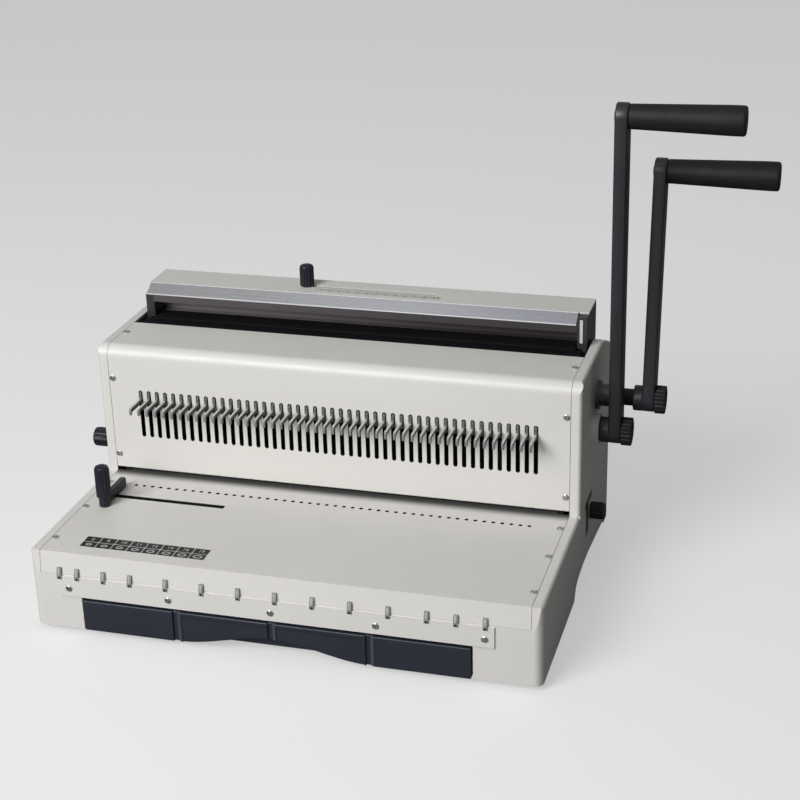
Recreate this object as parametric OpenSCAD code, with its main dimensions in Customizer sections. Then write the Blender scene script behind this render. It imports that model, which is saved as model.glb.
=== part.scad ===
// Desktop wire binding machine: a slotted tower over a paper deck, a row of punches
// worked by the front lever, and a wire closer on top worked by the rear lever.
// Heights are counted from the casing's lower edge unless they say otherwise.

/* [Feet] */
// Height of a rubber foot under the casing
foot_h = 6; // [4:0.5:12]
// Diameter of a foot
foot_d = 24; // [16:1:34]
// Foot centre in from the side face
foot_in_x = 55; // [45:1:80]
// Foot centre in from the front and rear faces
foot_in_y = 34; // [28:1:45]

/* [Casing] */
// Width of the casing over the side panels
base_w = 473.4; // [470:0.2:500]
// Depth of the casing
base_d = 332; // [328:1:350]
// Height of the deck
deck_h = 76; // [74:0.5:80]
// Height of the sloped band under the deck's front edge
band_h = 21; // [15:0.5:21]
// How far the band leans back
band_in = 2.5; // [1:0.25:4]
// Thickness of the casing sheet
sheet_t = 2; // [1:0.25:2.5]
// Radius of the upright front corners
corner_r = 8; // [5:0.5:8.5]
// Radius of the folded side edges
edge_r = 3.5; // [3:0.25:5]
// Width of the side panels' folded flanges
flange_w = 10; // [8:0.5:12]
// How far the front panel wraps round to the sides
front_wrap = 9; // [9:0.5:16]
// Gap at the seams between panels
seam = 0.4; // [0.3:0.1:1.2]
// Height of the hand-hold in each side panel's lower edge
hand_h = 16; // [10:1:18]
// Start of the hand-hold in front of the tower face
hand_y = 24; // [16:1:34]
// Length of the hand-hold
hand_len = 166; // [130:1:170]
// Depth of the hand-hold's notch in the base pan
hand_in = 14; // [8:1:15]

/* [Tower] */
// Tower face from the rear of the casing
tower_y = 158; // [156:0.5:162]
// Height of the tower's shoulder
shoulder_h = 208; // [207:0.5:215]
// Bend radius at the top of the tower face
bend_r = 11; // [4:0.5:12]
// Depth of the shoulder back to the closer's mouth
shoulder_d = 67; // [66:0.5:74]
// Start of the sloped rear edge behind the tower face
slope_y = 116; // [96:1:131]
// Drop of the sloped rear edge
slope_drop = 17; // [8:0.5:17.5]
// Height of the paper throat
throat_h = 5; // [4.2:0.1:5]

/* [Slots and hooks] */
// Room kept between the last slot and the side frame
row_in = 19; // [15:0.25:25]
// Pitch of the row
pitch = 8.4667; // [8:0.0001:8.6]
// Slot width
slot_w = 4.2; // [3.2:0.1:4.4]
// Lower end of a slot
slot_low = 115.5; // [112:0.5:120]
// Upper end of a slot
slot_top = 164.4; // [162:0.2:168]
// Thickness of a hook
hook_t = 2.6; // [1.5:0.1:2.8]
// Reach of a hook in front of the tower
hook_reach = 27; // [15:0.5:35]
// Height of a hook's arm
hook_bar = 3.6; // [3:0.1:4.4]
// Length of the turned-down tip
hook_tip = 7.6; // [6:0.2:9]
// Underside of the hook's arm below the slot's upper end
hook_drop = 11.2; // [9.4:0.2:14]
// Thickness of the hook plate
hook_plate_t = 1.5; // [1:0.1:1.8]
// Diameter of the small deck holes in front of the tower
dot_d = 3.8; // [1:0.1:5]
// Distance of the deck holes from the tower
dot_back = 27.7; // [20:0.1:32]

/* [Front strip and drawer] */
// Middle of the strip and the drawer from the casing's middle
front_off = -6.2; // [-8:0.1:8]
// Length of the front strip
strip_len = 402.6; // [390:0.2:410]
// Lower edge of the strip
strip_z = 33.5; // [33:0.25:34]
// Height of the strip
strip_h = 20; // [16:0.5:21]
// Thickness of the strip
strip_t = 1.6; // [1:0.1:2]
// Spacing of the strip's screws
strip_pitch = 96.4; // [90:0.2:96.8]
// Width of a clip
clip_w = 4.5; // [3:0.1:6]
// Step of the clips' row
clip_step = 8.58; // [8:0.02:8.6]
// Middle of the clips' row from the strip's middle
clip_off = -4; // [-4.5:0.1:4.5]
// Height of a clip above the strip
clip_h = 8; // [5:0.25:10]
// How far a clip laps down over the strip
clip_lap = 3; // [2:0.25:4]
// Thickness of a clip
clip_t = 1; // [0.6:0.1:1.4]
// Length of the drawer front
drawer_len = 361.4; // [350:0.2:366]
// Height of the drawer front
drawer_h = 30.6; // [28:0.2:31]
// How far the drawer front stands out
drawer_out = 2; // [1:0.25:3]
// Thickness of the drawer front
drawer_t = 11; // [8:0.5:13]
// Gap round the drawer front
drawer_gap = 1.4; // [0.4:0.1:1.6]
// Height of the finger arch in the drawer front
arch_h = 13.4; // [8:0.2:15]
// Length of the finger arch
arch_len = 180; // [140:1:200]
// Depth of the chip tray behind the drawer front
tray_d = 186; // [150:1:190]
// Height of the chip tray
tray_h = 24; // [16:0.5:25]
// Wall of the chip tray
tray_wall = 2; // [1.5:0.1:3]
// Inset of the tray from the drawer front's ends
tray_in = 8; // [7:0.5:14]

/* [Frames and shafts] */
// Inner face of each side frame in from the side face of the casing
frame_x = 22.7; // [22.2:0.25:24.7]
// Thickness of a side frame
frame_t = 6; // [4:0.25:6]
// Top of the side frames
frame_top = 204; // [202:0.25:204]
// Radius of the two lever shafts
shaft_r = 8; // [6:0.25:8]
// Running gap round a shaft
run_gap = 0.05; // [0.02:0.01:0.09]
// Wall of a shaft bush
bush_wall = 4; // [2:0.25:5]
// Length of a bush
bush_len = 10; // [8:0.5:12]
// Rear edge of the side frames in from the rear of the casing
frame_rear = 32; // [28:0.5:40]
// Rear tie rods behind the tower face
tie_rear = 118; // [112:0.5:120]
// Front tie rod behind the tower face
tie_front = 42; // [40:0.5:44]
// Height of the lower rear tie rod
tie_low = 60; // [50:0.5:80]
// Height of the upper rear tie rod
tie_mid = 116; // [105:0.5:120]
// Height of the front tie rod
tie_high = 189; // [187:0.25:190]
// Diameter of the tie rods
tie_d = 10; // [6:0.5:12]

/* [Punch] */
// Punch row behind the tower face
punch_back = 9.5; // [9:0.1:10]
// Side of a square punch pin
pin_w = 4; // [3:0.1:4.4]
// Gap round a pin in the guide plate and the die
pin_gap = 0.1; // [0.05:0.05:0.3]
// Thickness of the guide plate
guide_t = 8.6; // [6:0.2:8.8]
// Thickness of the die plate
die_t = 6; // [4:0.25:8]
// Depth of the guide and die plates, front to rear
die_d = 13.5; // [12:0.25:13.5]
// Stroke of the punches
punch_stroke = 9; // [7:0.25:9]
// Thickness of the ram bar
ram_t = 10; // [8:0.5:10]
// Height of the ram bar
ram_h = 12; // [9:0.5:12]
// Gap between the ram's lower face and the guide plate at the end of the stroke
ram_gap = 1; // [0.5:0.1:2]
// Punch shaft behind the tower face
punch_y = 60; // [59:0.5:61]
// Punch shaft height
punch_z = 140; // [138:0.5:141]
// Swing of the punch lever, in degrees
punch_swing = 85; // [75:1:90]
// Thickness of an eccentric and its yoke
cam_t = 12; // [8:0.5:14]
// Wall of the eccentric outside the shaft
cam_wall = 1.4; // [1:0.1:2]
// Gap between an eccentric and its yoke
cam_gap = 0.4; // [0.35:0.05:0.6]
// Wall of a yoke
yoke_wall = 8; // [5:0.5:9]
// Punch yokes in from the side frames
punch_cam_x = 54; // [46:1:74]
// Height of the die carrier's top flange
carrier_flange = 8; // [6:0.5:9]
// Depth of the die carrier's top flange that shows
carrier_d = 38; // [34:0.5:40]
// Depth of the die carrier's web
carrier_web = 17; // [12:0.5:20]
// Height of the die carrier
carrier_h = 38; // [34:0.5:39]

/* [Closer] */
// Inner face of each end plate in from the side face of the casing
closer_x = 16.7; // [16.2:0.25:17.7]
// Thickness of an end plate
end_t = 3.5; // [2:0.25:4.5]
// Front of the closer's ends behind the front edge of the fixed jaw
end_y = 0.8; // [0.7:0.1:2]
// Thickness of the closer's ends above the frames
head_t = 8.5; // [6:0.25:10]
// Front edge of the top cover behind the tower face
cover_y = 107; // [104:0.5:110]
// Rear face of the top cover in from the rear of the casing
cover_rear = 11; // [10.5:0.5:14]
// Top of the closer
closer_top = 237.5; // [236:0.25:241]
// Thickness of the closer's cover
cover_t = 1.5; // [1:0.1:2]
// Underside of the fixed jaw
jaw_z = 222; // [220:0.25:223]
// Thickness of the fixed jaw
jaw_t = 7; // [5:0.25:7.5]
// Front edge of the fixed jaw behind the tower face
jaw_y = 92; // [89:0.5:94]
// Thickness of the polished strip
lip_t = 2.4; // [1.6:0.1:3]
// Top of the press bar at rest, below the shoulder
press_drop = 1; // [0.5:0.25:2]
// Height of the press bar
press_h = 12; // [8:0.5:13]
// Depth of the press bar
press_d = 22; // [18:0.5:22]
// Front face of the press bar behind the tower face
press_y = 88; // [87:0.25:89]
// Stroke of the press bar
press_stroke = 10; // [8:0.25:10]
// Closing shaft behind the tower face
closing_y = 83.3; // [82.5:0.1:84]
// Closing shaft height
closing_z = 165; // [164:0.25:166]
// Swing of the closing lever, in degrees
closing_swing = 80; // [70:1:85]
// Closing yokes in from the side frames
closing_cam_x = 26; // [19:1:30]
// Slot for the size knob: left end from the middle
size_x = -66; // [-90:0.5:-50]
// Length of the size slot
size_len = 134; // [100:1:150]
// Width of the size slot
size_w = 5; // [4:0.1:7]
// Size knob diameter
size_d = 14.5; // [10:0.25:18]
// Size knob height
size_h = 22; // [14:0.5:26]

/* [Levers] */
// Radius of a lever's hub
hub_r = 12; // [11:0.25:13]
// Width of a lever's arm
arm_w = 24; // [18:0.5:25]
// Thickness of a lever's arm
arm_t = 11.5; // [6:0.5:12]
// Length of a lever's hub beside the arm
hub_len = 8.5; // [8:0.5:13]
// Radius of a ribbed end knob
end_r = 13.5; // [12:0.25:14]
// Length of a ribbed end knob
end_len = 9.5; // [7:0.25:10]
// Grip length
grip_len = 100; // [80:1:110]
// Grip radius beside the arm
grip_r0 = 11; // [9:0.25:13]
// Grip radius at the free end
grip_r1 = 13.25; // [10:0.25:16]
// Punch lever length, shaft to grip
punch_len = 301; // [292:1:320]
// Punch lever's forward lean at rest, in degrees
punch_lean = 1.7; // [0:0.1:4]
// Thickness of the punch bearing on the side panel
bearing_t = 7.3; // [4:0.1:8]
// Radius of the bearings on the side panel
bearing_r = 14; // [13:0.25:15]
// Closing lever length, shaft to grip
closing_len = 214; // [190:1:216]
// Closing lever's backward lean at rest, in degrees
closing_lean = 7.7; // [4:0.1:10]
// Length of the closing bearing's sleeve
sleeve_len = 13.5; // [8:0.25:16]
// Radius of the closing bearing's sleeve
sleeve_r = 10.5; // [9.5:0.25:12]
// Closing lever's hub face from the side panel
closing_hub = 35; // [33:0.5:40]

/* [Edge guide] */
// Deck slot for the edge guide: left end in from the deck panel's end
guide_x = 17.9; // [17.4:0.25:25.9]
// Length of the deck slot
guide_len = 115; // [80:1:120]
// Deck slot in front of the tower face
guide_y = 54; // [50:1:64]
// Width of the deck slot
guide_slot = 6; // [4:0.1:6.4]
// Width of the guide bar
guide_w = 6.5; // [5:0.25:8]
// Length of the guide bar
guide_bar = 49; // [40:1:52]
// Height of the guide bar
guide_h = 9.6; // [6:0.2:12]
// Diameter of the clamp knob
clamp_d = 14.5; // [12:0.25:18]
// Height of the clamp knob
clamp_h = 32; // [20:0.5:36]

/* [Depth stop] */
// Depth shaft behind the tower face
depth_y = 29; // [28:0.5:30]
// Depth shaft height
depth_z = 97; // [95:0.5:98]
// Depth shaft radius
depth_r = 4; // [3:0.25:4]
// Throw of the depth eccentrics
depth_e = 2.5; // [1.5:0.1:2.5]
// Radius of the depth knob
depth_knob_r = 10; // [8:0.25:12]
// Length of the depth knob
depth_knob_len = 22; // [14:0.5:26]
// Back stop uprights from the middle
stop_x = 120; // [90:1:135]
// Thickness of an upright
stop_t = 6; // [4:0.25:10]

/* [Side clamp] */
// Clamp knob on the right side behind the tower face
side_knob_y = 57; // [56:0.5:60]
// Clamp knob height
side_knob_z = 56; // [52:0.5:57]
// Clamp knob radius
side_knob_r = 8.5; // [6:0.25:10]
// Clamp knob length
side_knob_len = 14; // [8:0.5:20]
// Clamp spindle radius
side_pin_r = 3; // [2:0.25:4]

/* [Label] */
// Settings label: left end in from the deck panel's end
label_x = 31.9; // [20:0.1:60]
// Settings label from the front of the casing
label_y = 16.5; // [10:0.5:24]
// Length of the settings label
label_len = 121; // [80:1:140]
// Width of the settings label
label_d = 20; // [12:0.5:26]
// Thickness of the settings label
label_t = 0.25; // [0.1:0.05:0.5]

/* [Screws] */
// First deck screws from the front of the casing
deck_screw_front = 27; // [20:1:40]
// Middle deck screws in front of the tower face
deck_screw_mid = 82; // [70:1:95]
// Last deck screws in front of the tower face
deck_screw_rear = 27; // [20:1:40]
// Lower tower screws above the deck
tower_screw_low = 19.3; // [17:0.1:30]
// Upper tower screws below the shoulder
tower_screw_high = 32.6; // [24:0.1:40]
// Shoulder screws behind the tower face
shoulder_screw = 39; // [20:1:60]
// Head radius of the panel screws
head_r = 3; // [2:0.1:3.2]
// Head height of the panel screws
head_h = 1.6; // [0.8:0.1:2]
// Shank radius of the panel screws
shank_r = 1.5; // [1:0.1:1.8]
// Gap round a screw's shank
shank_gap = 0.1; // [0.05:0.05:0.2]

/* [Hidden] */
$fn = 64;

eps = 1;
zb = foot_h;
hw = base_w / 2;
deck_z = zb + deck_h;
fold_z = deck_z - band_h;
sh_z = zb + shoulder_h;
pan_t = sheet_t;
pan_top = zb + pan_t;
inner_x = hw - flange_w;
panel_x = inner_x - seam;

// Places that follow the casing's sides, its rear and the tower face
frame_at = hw - frame_x;
closer_at = hw - closer_x;
punch_cam_at = frame_at - punch_cam_x;
closing_cam_at = frame_at - closing_cam_x;
guide_at_x = guide_x - panel_x;
tower_at = base_d - tower_y;
cover_end = base_d - cover_rear;
mouth_y = tower_at + shoulder_d;
slope_at = tower_at + slope_y;
punch_at = tower_at + punch_y;
closing_at = tower_at + closing_y;
end_at = tower_at + jaw_y + end_y;
head_at = closer_at + end_t - head_t;
cover_at = tower_at + cover_y;
jaw_at = tower_at + jaw_y;
press_at = tower_at + press_y;
depth_at = tower_at + depth_y;
side_knob_at = tower_at + side_knob_y;
hand_at = tower_at - hand_y;
guide_at = tower_at - guide_y;

// As many slots, hooks and punches as the width between the frames takes, one in the middle
slot_side = floor((frame_at - row_in) / pitch);
row_half = slot_side * pitch;
slot_xs = [for (i = [-slot_side : slot_side]) i * pitch];

// Drawer and strip
drawer_x0 = front_off - drawer_len / 2;
drawer_x1 = front_off + drawer_len / 2;
drawer_z0 = zb + 0.3;
drawer_top = zb + drawer_h;
// The drawer's opening ends just behind the strip's lower edge
opening_top = max(drawer_top + 0.4, zb + strip_z + 0.3);
strip_x0 = front_off - strip_len / 2;
strip_top = zb + strip_z + strip_h;
strip_mid = zb + strip_z + strip_h * 0.42;
clip_at = [0, 2, 5, 8, 12, 16, 20, 24, 28, 32, 36, 40, 43, 46];
clip_mid = front_off + clip_off;
tray_y0 = drawer_t - drawer_out;
tray_y1 = tray_y0 + tray_d;
tray_x0 = drawer_x0 + tray_in;
tray_x1 = drawer_x1 - tray_in;
runner_w = 3;
runner_gap = 0.4;

// Punch
pin_y = tower_at + punch_back;
die_y0 = tower_at + sheet_t + 0.5;
die_y1 = die_y0 + die_d;
guide_z0 = deck_z + throat_h;
guide_z1 = guide_z0 + guide_t;
ram_z0 = guide_z1 + ram_gap + punch_stroke;
pin_z0 = guide_z0 + 0.5;
ram_y0 = pin_y - ram_t / 2;
ram_y1 = pin_y + ram_t / 2;
slide_gap = 0.4;
slide_x = frame_at - slide_gap;
punch_e = punch_stroke / (2 * sin(punch_swing / 2));
punch_cam_r = shaft_r + punch_e + cam_wall;
punch_ax_z = zb + punch_z;
punch_cy = punch_at - punch_e * cos(punch_swing / 2);
punch_cz = punch_ax_z + punch_stroke / 2;
ram_riser = 7.5;

// Closing
closing_ax_z = zb + closing_z;
closing_e = press_stroke / (2 * sin(closing_swing / 2));
closing_cam_r = shaft_r + closing_e + cam_wall;
closing_cy = closing_at + closing_e * cos(closing_swing / 2);
closing_cz = closing_ax_z - press_stroke / 2;
press_z1 = sh_z - press_drop;
press_z0 = press_z1 - press_h;
closer_z = zb + closer_top;
cover_z = closer_z - cover_t;
jaw_z0 = zb + jaw_z;
jaw_z1 = jaw_z0 + jaw_t;
frame_z = zb + frame_top;
liner_t = sh_z - sheet_t - frame_z;
liner_gap = 0.6;
liner_back = jaw_at + 30;
size_y = (cover_at + cover_end) / 2;
size_stem = size_w / 2 - 0.2;
size_at = size_x + size_stem + 0.3;
slider_len = 15;
slider_d = 12;

// Frames and carrier
frame_y0 = die_y0 + 2;
frame_y1 = base_d - frame_rear;
bush_r = shaft_r + run_gap + bush_wall;
bush_fit = 0.05;
carrier_y1 = die_y1 + 11 + carrier_d;
carrier_y0 = die_y1 + 11;
carrier_web_y = carrier_y0 + 5;
carrier_z0 = deck_z - carrier_h;
carrier_fit = 0.3;
tie_at = [[tower_at + tie_rear, zb + tie_low], [tower_at + tie_front, zb + tie_high],
  [tower_at + tie_rear, zb + tie_mid]];
deck_screw_ys = [deck_screw_front, tower_at - deck_screw_mid, tower_at - deck_screw_rear];
tower_screw_zs = [deck_z + tower_screw_low, sh_z - tower_screw_high];

// Levers
bearing_x = hw + bearing_t;
lever_gap = 0.4;
p_hub0 = bearing_x + lever_gap;
p_arm0 = p_hub0 + hub_len;
p_arm1 = p_arm0 + arm_t;
c_hub0 = hw + closing_hub;
c_arm0 = c_hub0 + hub_len;
c_arm1 = c_arm0 + arm_t;
fit_gap = 0.02;
grip_bolt = 4;

// Edge guide
deck_gap = 0.3;
guide_stem = 4.4;
guide_stem0 = guide_at_x + 0.4;
guide_mid = guide_stem0 + guide_stem / 2;
guide_y0 = guide_at - 27;
clamp_y = guide_y0 + 5;
clamp_z = deck_z + deck_gap + guide_h;
clamp_pin = 2.5;

// Depth stop
depth_ax_z = zb + depth_z;
depth_cam_r = depth_r + depth_e + 0.8;
depth_rest = 45;
depth_cy = depth_at - depth_e * sin(depth_rest);
depth_cz = depth_ax_z + depth_e * cos(depth_rest);
stop_wall = 3;
stop_y0 = pin_y + pin_w / 2 + 3.5;
stop_z0 = deck_z + 0.4;
stop_z1 = guide_z0 - 0.4;

// Overall reach, for the place of the origin
x_min = -(hw + 3 + depth_knob_len);
x_max = c_arm1 + grip_len;
y_min = -max(drawer_out, strip_t + max(clip_t, head_h));
y_max = base_d;

cream = [0.88, 0.87, 0.84];
charcoal = [0.17, 0.17, 0.19];
slate = [0.17, 0.19, 0.25];
steel = [0.66, 0.67, 0.68];

module place() translate([-(x_min + x_max) / 2, -(y_min + y_max) / 2, 0]) children();

module block(x0, x1, y0, y1, z0, z1)
  translate([x0, y0, z0]) cube([x1 - x0, y1 - y0, z1 - z0]);

module rod_x(r, x0, x1, y, z)
  translate([x0, y, z]) rotate([0, 90, 0]) cylinder(r = r, h = x1 - x0);

module rod_y(r, x, y0, y1, z)
  translate([x, y1, z]) rotate([90, 0, 0]) cylinder(r = r, h = y1 - y0);

module rod_z(r, x, y, z0, z1)
  translate([x, y, z0]) cylinder(r = r, h = z1 - z0);

// Outline in Y and Z, drawn out along X
module plate_x(pts, x0, x1)
  translate([x0, 0, 0]) rotate([90, 0, 90]) linear_extrude(x1 - x0) polygon(pts);

// Outline in X and Z, drawn out along Y
module plate_y(pts, y0, y1)
  translate([0, y1, 0]) rotate([90, 0, 0]) linear_extrude(y1 - y0) polygon(pts);

module both() {
  children();
  mirror([1, 0, 0]) children();
}

module ribbed_rod(r, len, ribs, depth)
  difference() {
    cylinder(r = r, h = len);
    for (i = [0 : ribs - 1])
      rotate([0, 0, i * 360 / ribs]) translate([r + depth * 0.6, 0, -eps])
        cylinder(r = depth * 1.6, h = len + 2 * eps, $fn = 16);
  }

// Side outline of the casing, i inside its outer face
function base_outline(i) = [[i, zb - (i > 0 ? eps : 0)], [i, fold_z], [band_in + i, deck_z - i],
  [base_d - i, deck_z - i], [base_d - i, zb - (i > 0 ? eps : 0)]];

function tower_outline(i) = [[tower_at + i, zb - (i > 0 ? eps : 0)], [tower_at + i, sh_z - i],
  [slope_at, sh_z - i], [base_d - i, sh_z - slope_drop - i], [base_d - i, zb - (i > 0 ? eps : 0)]];

// Cuts a square edge along Y down to a round one
module edge_cut(r, len)
  difference() {
    translate([0, 0, 0]) cube([edge_r + eps, len, edge_r + eps]);
    translate([0, -eps, 0]) rotate([-90, 0, 0]) cylinder(r = r, h = len + 2 * eps);
  }

module casing(i)
  difference() {
    union() {
      plate_x(base_outline(i), -hw + i, hw - i);
      plate_x(tower_outline(i), -hw + i, hw - i);
    }
    both() {
      translate([hw - corner_r, corner_r, 0]) difference() {
        translate([0, -corner_r - eps, zb - 2 * eps]) cube([corner_r + eps, corner_r + eps, deck_h + 4 * eps]);
        translate([0, 0, zb - 3 * eps]) cylinder(r = corner_r - i, h = deck_h + 6 * eps);
      }
      translate([hw - edge_r, tower_at + edge_r, deck_z - i]) difference() {
        translate([0, -edge_r - eps, 0]) cube([edge_r + eps, edge_r + eps, shoulder_h]);
        translate([0, 0, -eps]) cylinder(r = edge_r - i, h = shoulder_h + 2 * eps);
      }
      translate([hw - edge_r, -eps, deck_z - edge_r]) edge_cut(edge_r - i, tower_at + i + eps);
      translate([hw - edge_r, tower_at - eps, sh_z - edge_r]) edge_cut(edge_r - i, slope_at - tower_at + eps);
      translate([hw - edge_r, slope_at, sh_z - edge_r]) rotate([-atan2(slope_drop, base_d - slope_at), 0, 0])
        edge_cut(edge_r - i, 2 * (base_d - slope_at));
    }
    difference() {
      block(-base_w, base_w, tower_at - eps, tower_at + bend_r, sh_z - bend_r, sh_z + eps);
      rod_x(bend_r - i, -base_w - eps, base_w + eps, tower_at + bend_r, sh_z - bend_r);
    }
  }

module shell()
  difference() {
    casing(0);
    casing(sheet_t);
  }

// A pan-head screw with its seat at the origin, its head toward +Z
module screw(len) {
  cylinder(r = head_r, h = head_h);
  translate([0, 0, -len]) cylinder(r = shank_r, h = len + 0.2);
}

module base_pan()
  color(cream * 0.9) difference() {
    block(-hw + sheet_t, hw - sheet_t, sheet_t, base_d - sheet_t, zb, pan_top);
    both() {
      block(hw - hand_in, hw, hand_at - 5, hand_at + hand_len + 5, zb - eps, pan_top + eps);
      translate([hw - corner_r, corner_r, 0]) difference() {
        translate([0, -corner_r, zb - eps]) cube([corner_r, corner_r, pan_t + 2 * eps]);
        translate([0, 0, zb - 2 * eps]) cylinder(r = corner_r - sheet_t, h = pan_t + 4 * eps);
      }
    }
    block(drawer_x0 - drawer_gap, drawer_x1 + drawer_gap, 0, tray_y0 + 0.5, zb - eps, pan_top + eps);
    block(front_off - arch_len / 2, front_off + arch_len / 2, 0, tray_y0 + 12, zb - eps, pan_top + eps);
  }

module rubber_feet()
  color([0.1, 0.1, 0.1]) both()
    for (y = [foot_in_y, base_d - foot_in_y])
      rod_z(foot_d / 2, hw - foot_in_x, y, 0, zb);

module front_panel()
  color(cream) difference() {
    intersection() {
      shell();
      block(-base_w, base_w, -eps, front_wrap, zb - eps, deck_z + eps);
    }
    block(-inner_x, inner_x, -eps, front_wrap + eps, fold_z - seam / 2, deck_z + 2 * eps);
    block(drawer_x0 - drawer_gap, drawer_x1 + drawer_gap, -eps, front_wrap + eps,
      zb - 2 * eps, opening_top);
    for (i = [-2 : 2])
      rod_y(shank_r + shank_gap, front_off + i * strip_pitch, -eps, sheet_t + eps, strip_mid);
  }

module deck_panel()
  color(cream * 0.98) difference() {
    union() {
      intersection() {
        shell();
        block(-panel_x, panel_x, -eps, tower_at, fold_z, deck_z + eps);
      }
      block(-panel_x, panel_x, tower_at - 2 * eps, die_y0, deck_z - sheet_t, deck_z);
    }
    for (x = slot_xs)
      rod_z(dot_d / 2, x, tower_at - dot_back, deck_z - sheet_t - eps, deck_z + eps);
    block(guide_at_x, guide_at_x + guide_len, guide_at - guide_slot / 2, guide_at + guide_slot / 2,
      deck_z - sheet_t - eps, deck_z + eps);
    both() for (y = deck_screw_ys)
      rod_z(shank_r + shank_gap, panel_x - head_r - 0.4, y, deck_z - sheet_t - eps, deck_z + eps);
  }

// Rise of the hand-hold's edge, as shares of its length and height
hand_curve = [[0, 0], [0.05, 0.68], [0.11, 0.88], [0.27, 1], [0.45, 0.92], [0.75, 0.58], [0.93, 0.36], [1, 0]];

module side_shell()
  difference() {
    intersection() {
      shell();
      block(inner_x, base_w, front_wrap + seam / 2, base_d + eps, zb - eps, sh_z + eps);
    }
    plate_x(concat([for (p = hand_curve) [hand_at + p[0] * hand_len, zb + p[1] * hand_h]],
      [[hand_at + hand_len, zb - 2 * eps], [hand_at, zb - 2 * eps]]), inner_x, base_w);
  }

module left_side_panel()
  color(cream * 0.97) difference() {
    mirror([1, 0, 0]) side_shell();
    rod_x(depth_r + 1, -base_w, -inner_x, depth_at, depth_ax_z);
  }

module carrier_section(gap, x0, x1) {
  block(x0, x1, carrier_y0 - gap, carrier_y1 + gap, deck_z - carrier_flange - gap, deck_z + gap);
  block(x0, x1, carrier_web_y - gap, carrier_web_y + carrier_web + gap, carrier_z0 - gap, deck_z);
}

module right_side_panel()
  color(cream * 0.97) difference() {
    side_shell();
    rod_x(shaft_r + 1, inner_x, base_w, punch_at, punch_ax_z);
    rod_x(shaft_r + 1, inner_x, base_w, closing_at, closing_ax_z);
    rod_x(side_pin_r + 0.5, inner_x, base_w, side_knob_at, zb + side_knob_z);
    carrier_section(carrier_fit, inner_x, base_w);
  }

module rear_panel()
  color(cream * 0.95) intersection() {
    shell();
    block(-panel_x, panel_x, cover_end + seam / 2, base_d + eps, zb - eps, sh_z + eps);
  }

module slot_cut(x, w)
  union() {
    block(x - w / 2, x + w / 2, tower_at - eps, tower_at + sheet_t + eps, zb + slot_low + w / 2, zb + slot_top - w / 2);
    rod_y(w / 2, x, tower_at - eps, tower_at + sheet_t + eps, zb + slot_low + w / 2);
    rod_y(w / 2, x, tower_at - eps, tower_at + sheet_t + eps, zb + slot_top - w / 2);
  }

module tower_panel()
  color(cream * 0.99) difference() {
    intersection() {
      shell();
      block(-panel_x, panel_x, tower_at - eps, mouth_y, guide_z0, sh_z + eps);
    }
    for (x = slot_xs) slot_cut(x, slot_w);
    both() {
      for (z = tower_screw_zs)
        rod_y(shank_r + shank_gap, panel_x - head_r - 0.6, tower_at - eps, tower_at + sheet_t + eps, z);
      rod_z(shank_r + shank_gap, panel_x - head_r - 0.6, tower_at + shoulder_screw, sh_z - sheet_t - eps, sh_z + eps);
    }
  }

hook_y = tower_at + sheet_t;
hook_z = zb + slot_top - hook_drop;
hook_top = zb + slot_top - 1;
arm_top = hook_z + hook_bar;
tip_y = tower_at - hook_reach;
hook_shape = [[hook_y + hook_plate_t, hook_z - 4], [hook_y + hook_plate_t, hook_top],
  [tower_at + 0.6, hook_top], [tower_at - 1.4, hook_top - 1.6], [tower_at - 1.6, arm_top + 1.2],
  [tower_at - 3, arm_top], [tip_y + 1.6, arm_top], [tip_y, arm_top - 1.6],
  [tip_y, arm_top - hook_tip], [tip_y + 2.4, arm_top - hook_tip], [tip_y + 3, hook_z - 0.6], [tip_y + 3.8, hook_z],
  [tower_at - 1.2, hook_z], [tower_at - 0.4, hook_z - 1], [tower_at - 0.4, hook_z - 4]];

module hook_plate()
  color(steel) union() {
    block(-row_half - 10, row_half + 10, hook_y, hook_y + hook_plate_t, hook_z - 4, zb + slot_top + 8);
    for (x = slot_xs) plate_x(hook_shape, x - hook_t / 2, x + hook_t / 2);
  }

module front_strip()
  color(cream * 0.99) difference() {
    block(strip_x0, strip_x0 + strip_len, -strip_t, 0, zb + strip_z, strip_top);
    for (i = [-2 : 2])
      rod_y(shank_r + shank_gap, front_off + i * strip_pitch, -strip_t - eps, eps, strip_mid);
  }

// Face of the sloped band at a height
function band_y(z) = z <= fold_z ? 0 : (z - fold_z) * band_in / band_h;

module strip_clips()
  color([0.72, 0.72, 0.72]) for (k = clip_at)
    plate_x([[-strip_t - clip_t, strip_top - clip_lap], [-strip_t, strip_top - clip_lap], [-strip_t, strip_top],
      [0, strip_top], [0, fold_z], [band_y(strip_top + clip_h), strip_top + clip_h], [-clip_t, strip_top + clip_h],
      [-strip_t - clip_t, strip_top + 1]],
      clip_mid + (k - 23) * clip_step - clip_w / 2, clip_mid + (k - 23) * clip_step + clip_w / 2);

module strip_screws()
  color(steel) for (i = [-2 : 2])
    translate([front_off + i * strip_pitch, -strip_t, strip_mid]) rotate([90, 0, 0]) screw(strip_t + sheet_t);

module deck_screws()
  color(steel) both() for (y = deck_screw_ys)
    translate([panel_x - head_r - 0.4, y, deck_z]) screw(sheet_t + 3);

module tower_screws()
  color(steel) both() {
    for (z = tower_screw_zs)
      translate([panel_x - head_r - 0.6, tower_at, z]) rotate([90, 0, 0]) screw(sheet_t + 2);
    translate([panel_x - head_r - 0.6, tower_at + shoulder_screw, sh_z]) screw(sheet_t);
  }

module settings_label()
  color([0.15, 0.15, 0.16]) block(label_x - panel_x, label_x + label_len - panel_x, label_y, label_y + label_d,
    deck_z, deck_z + label_t);

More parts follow.
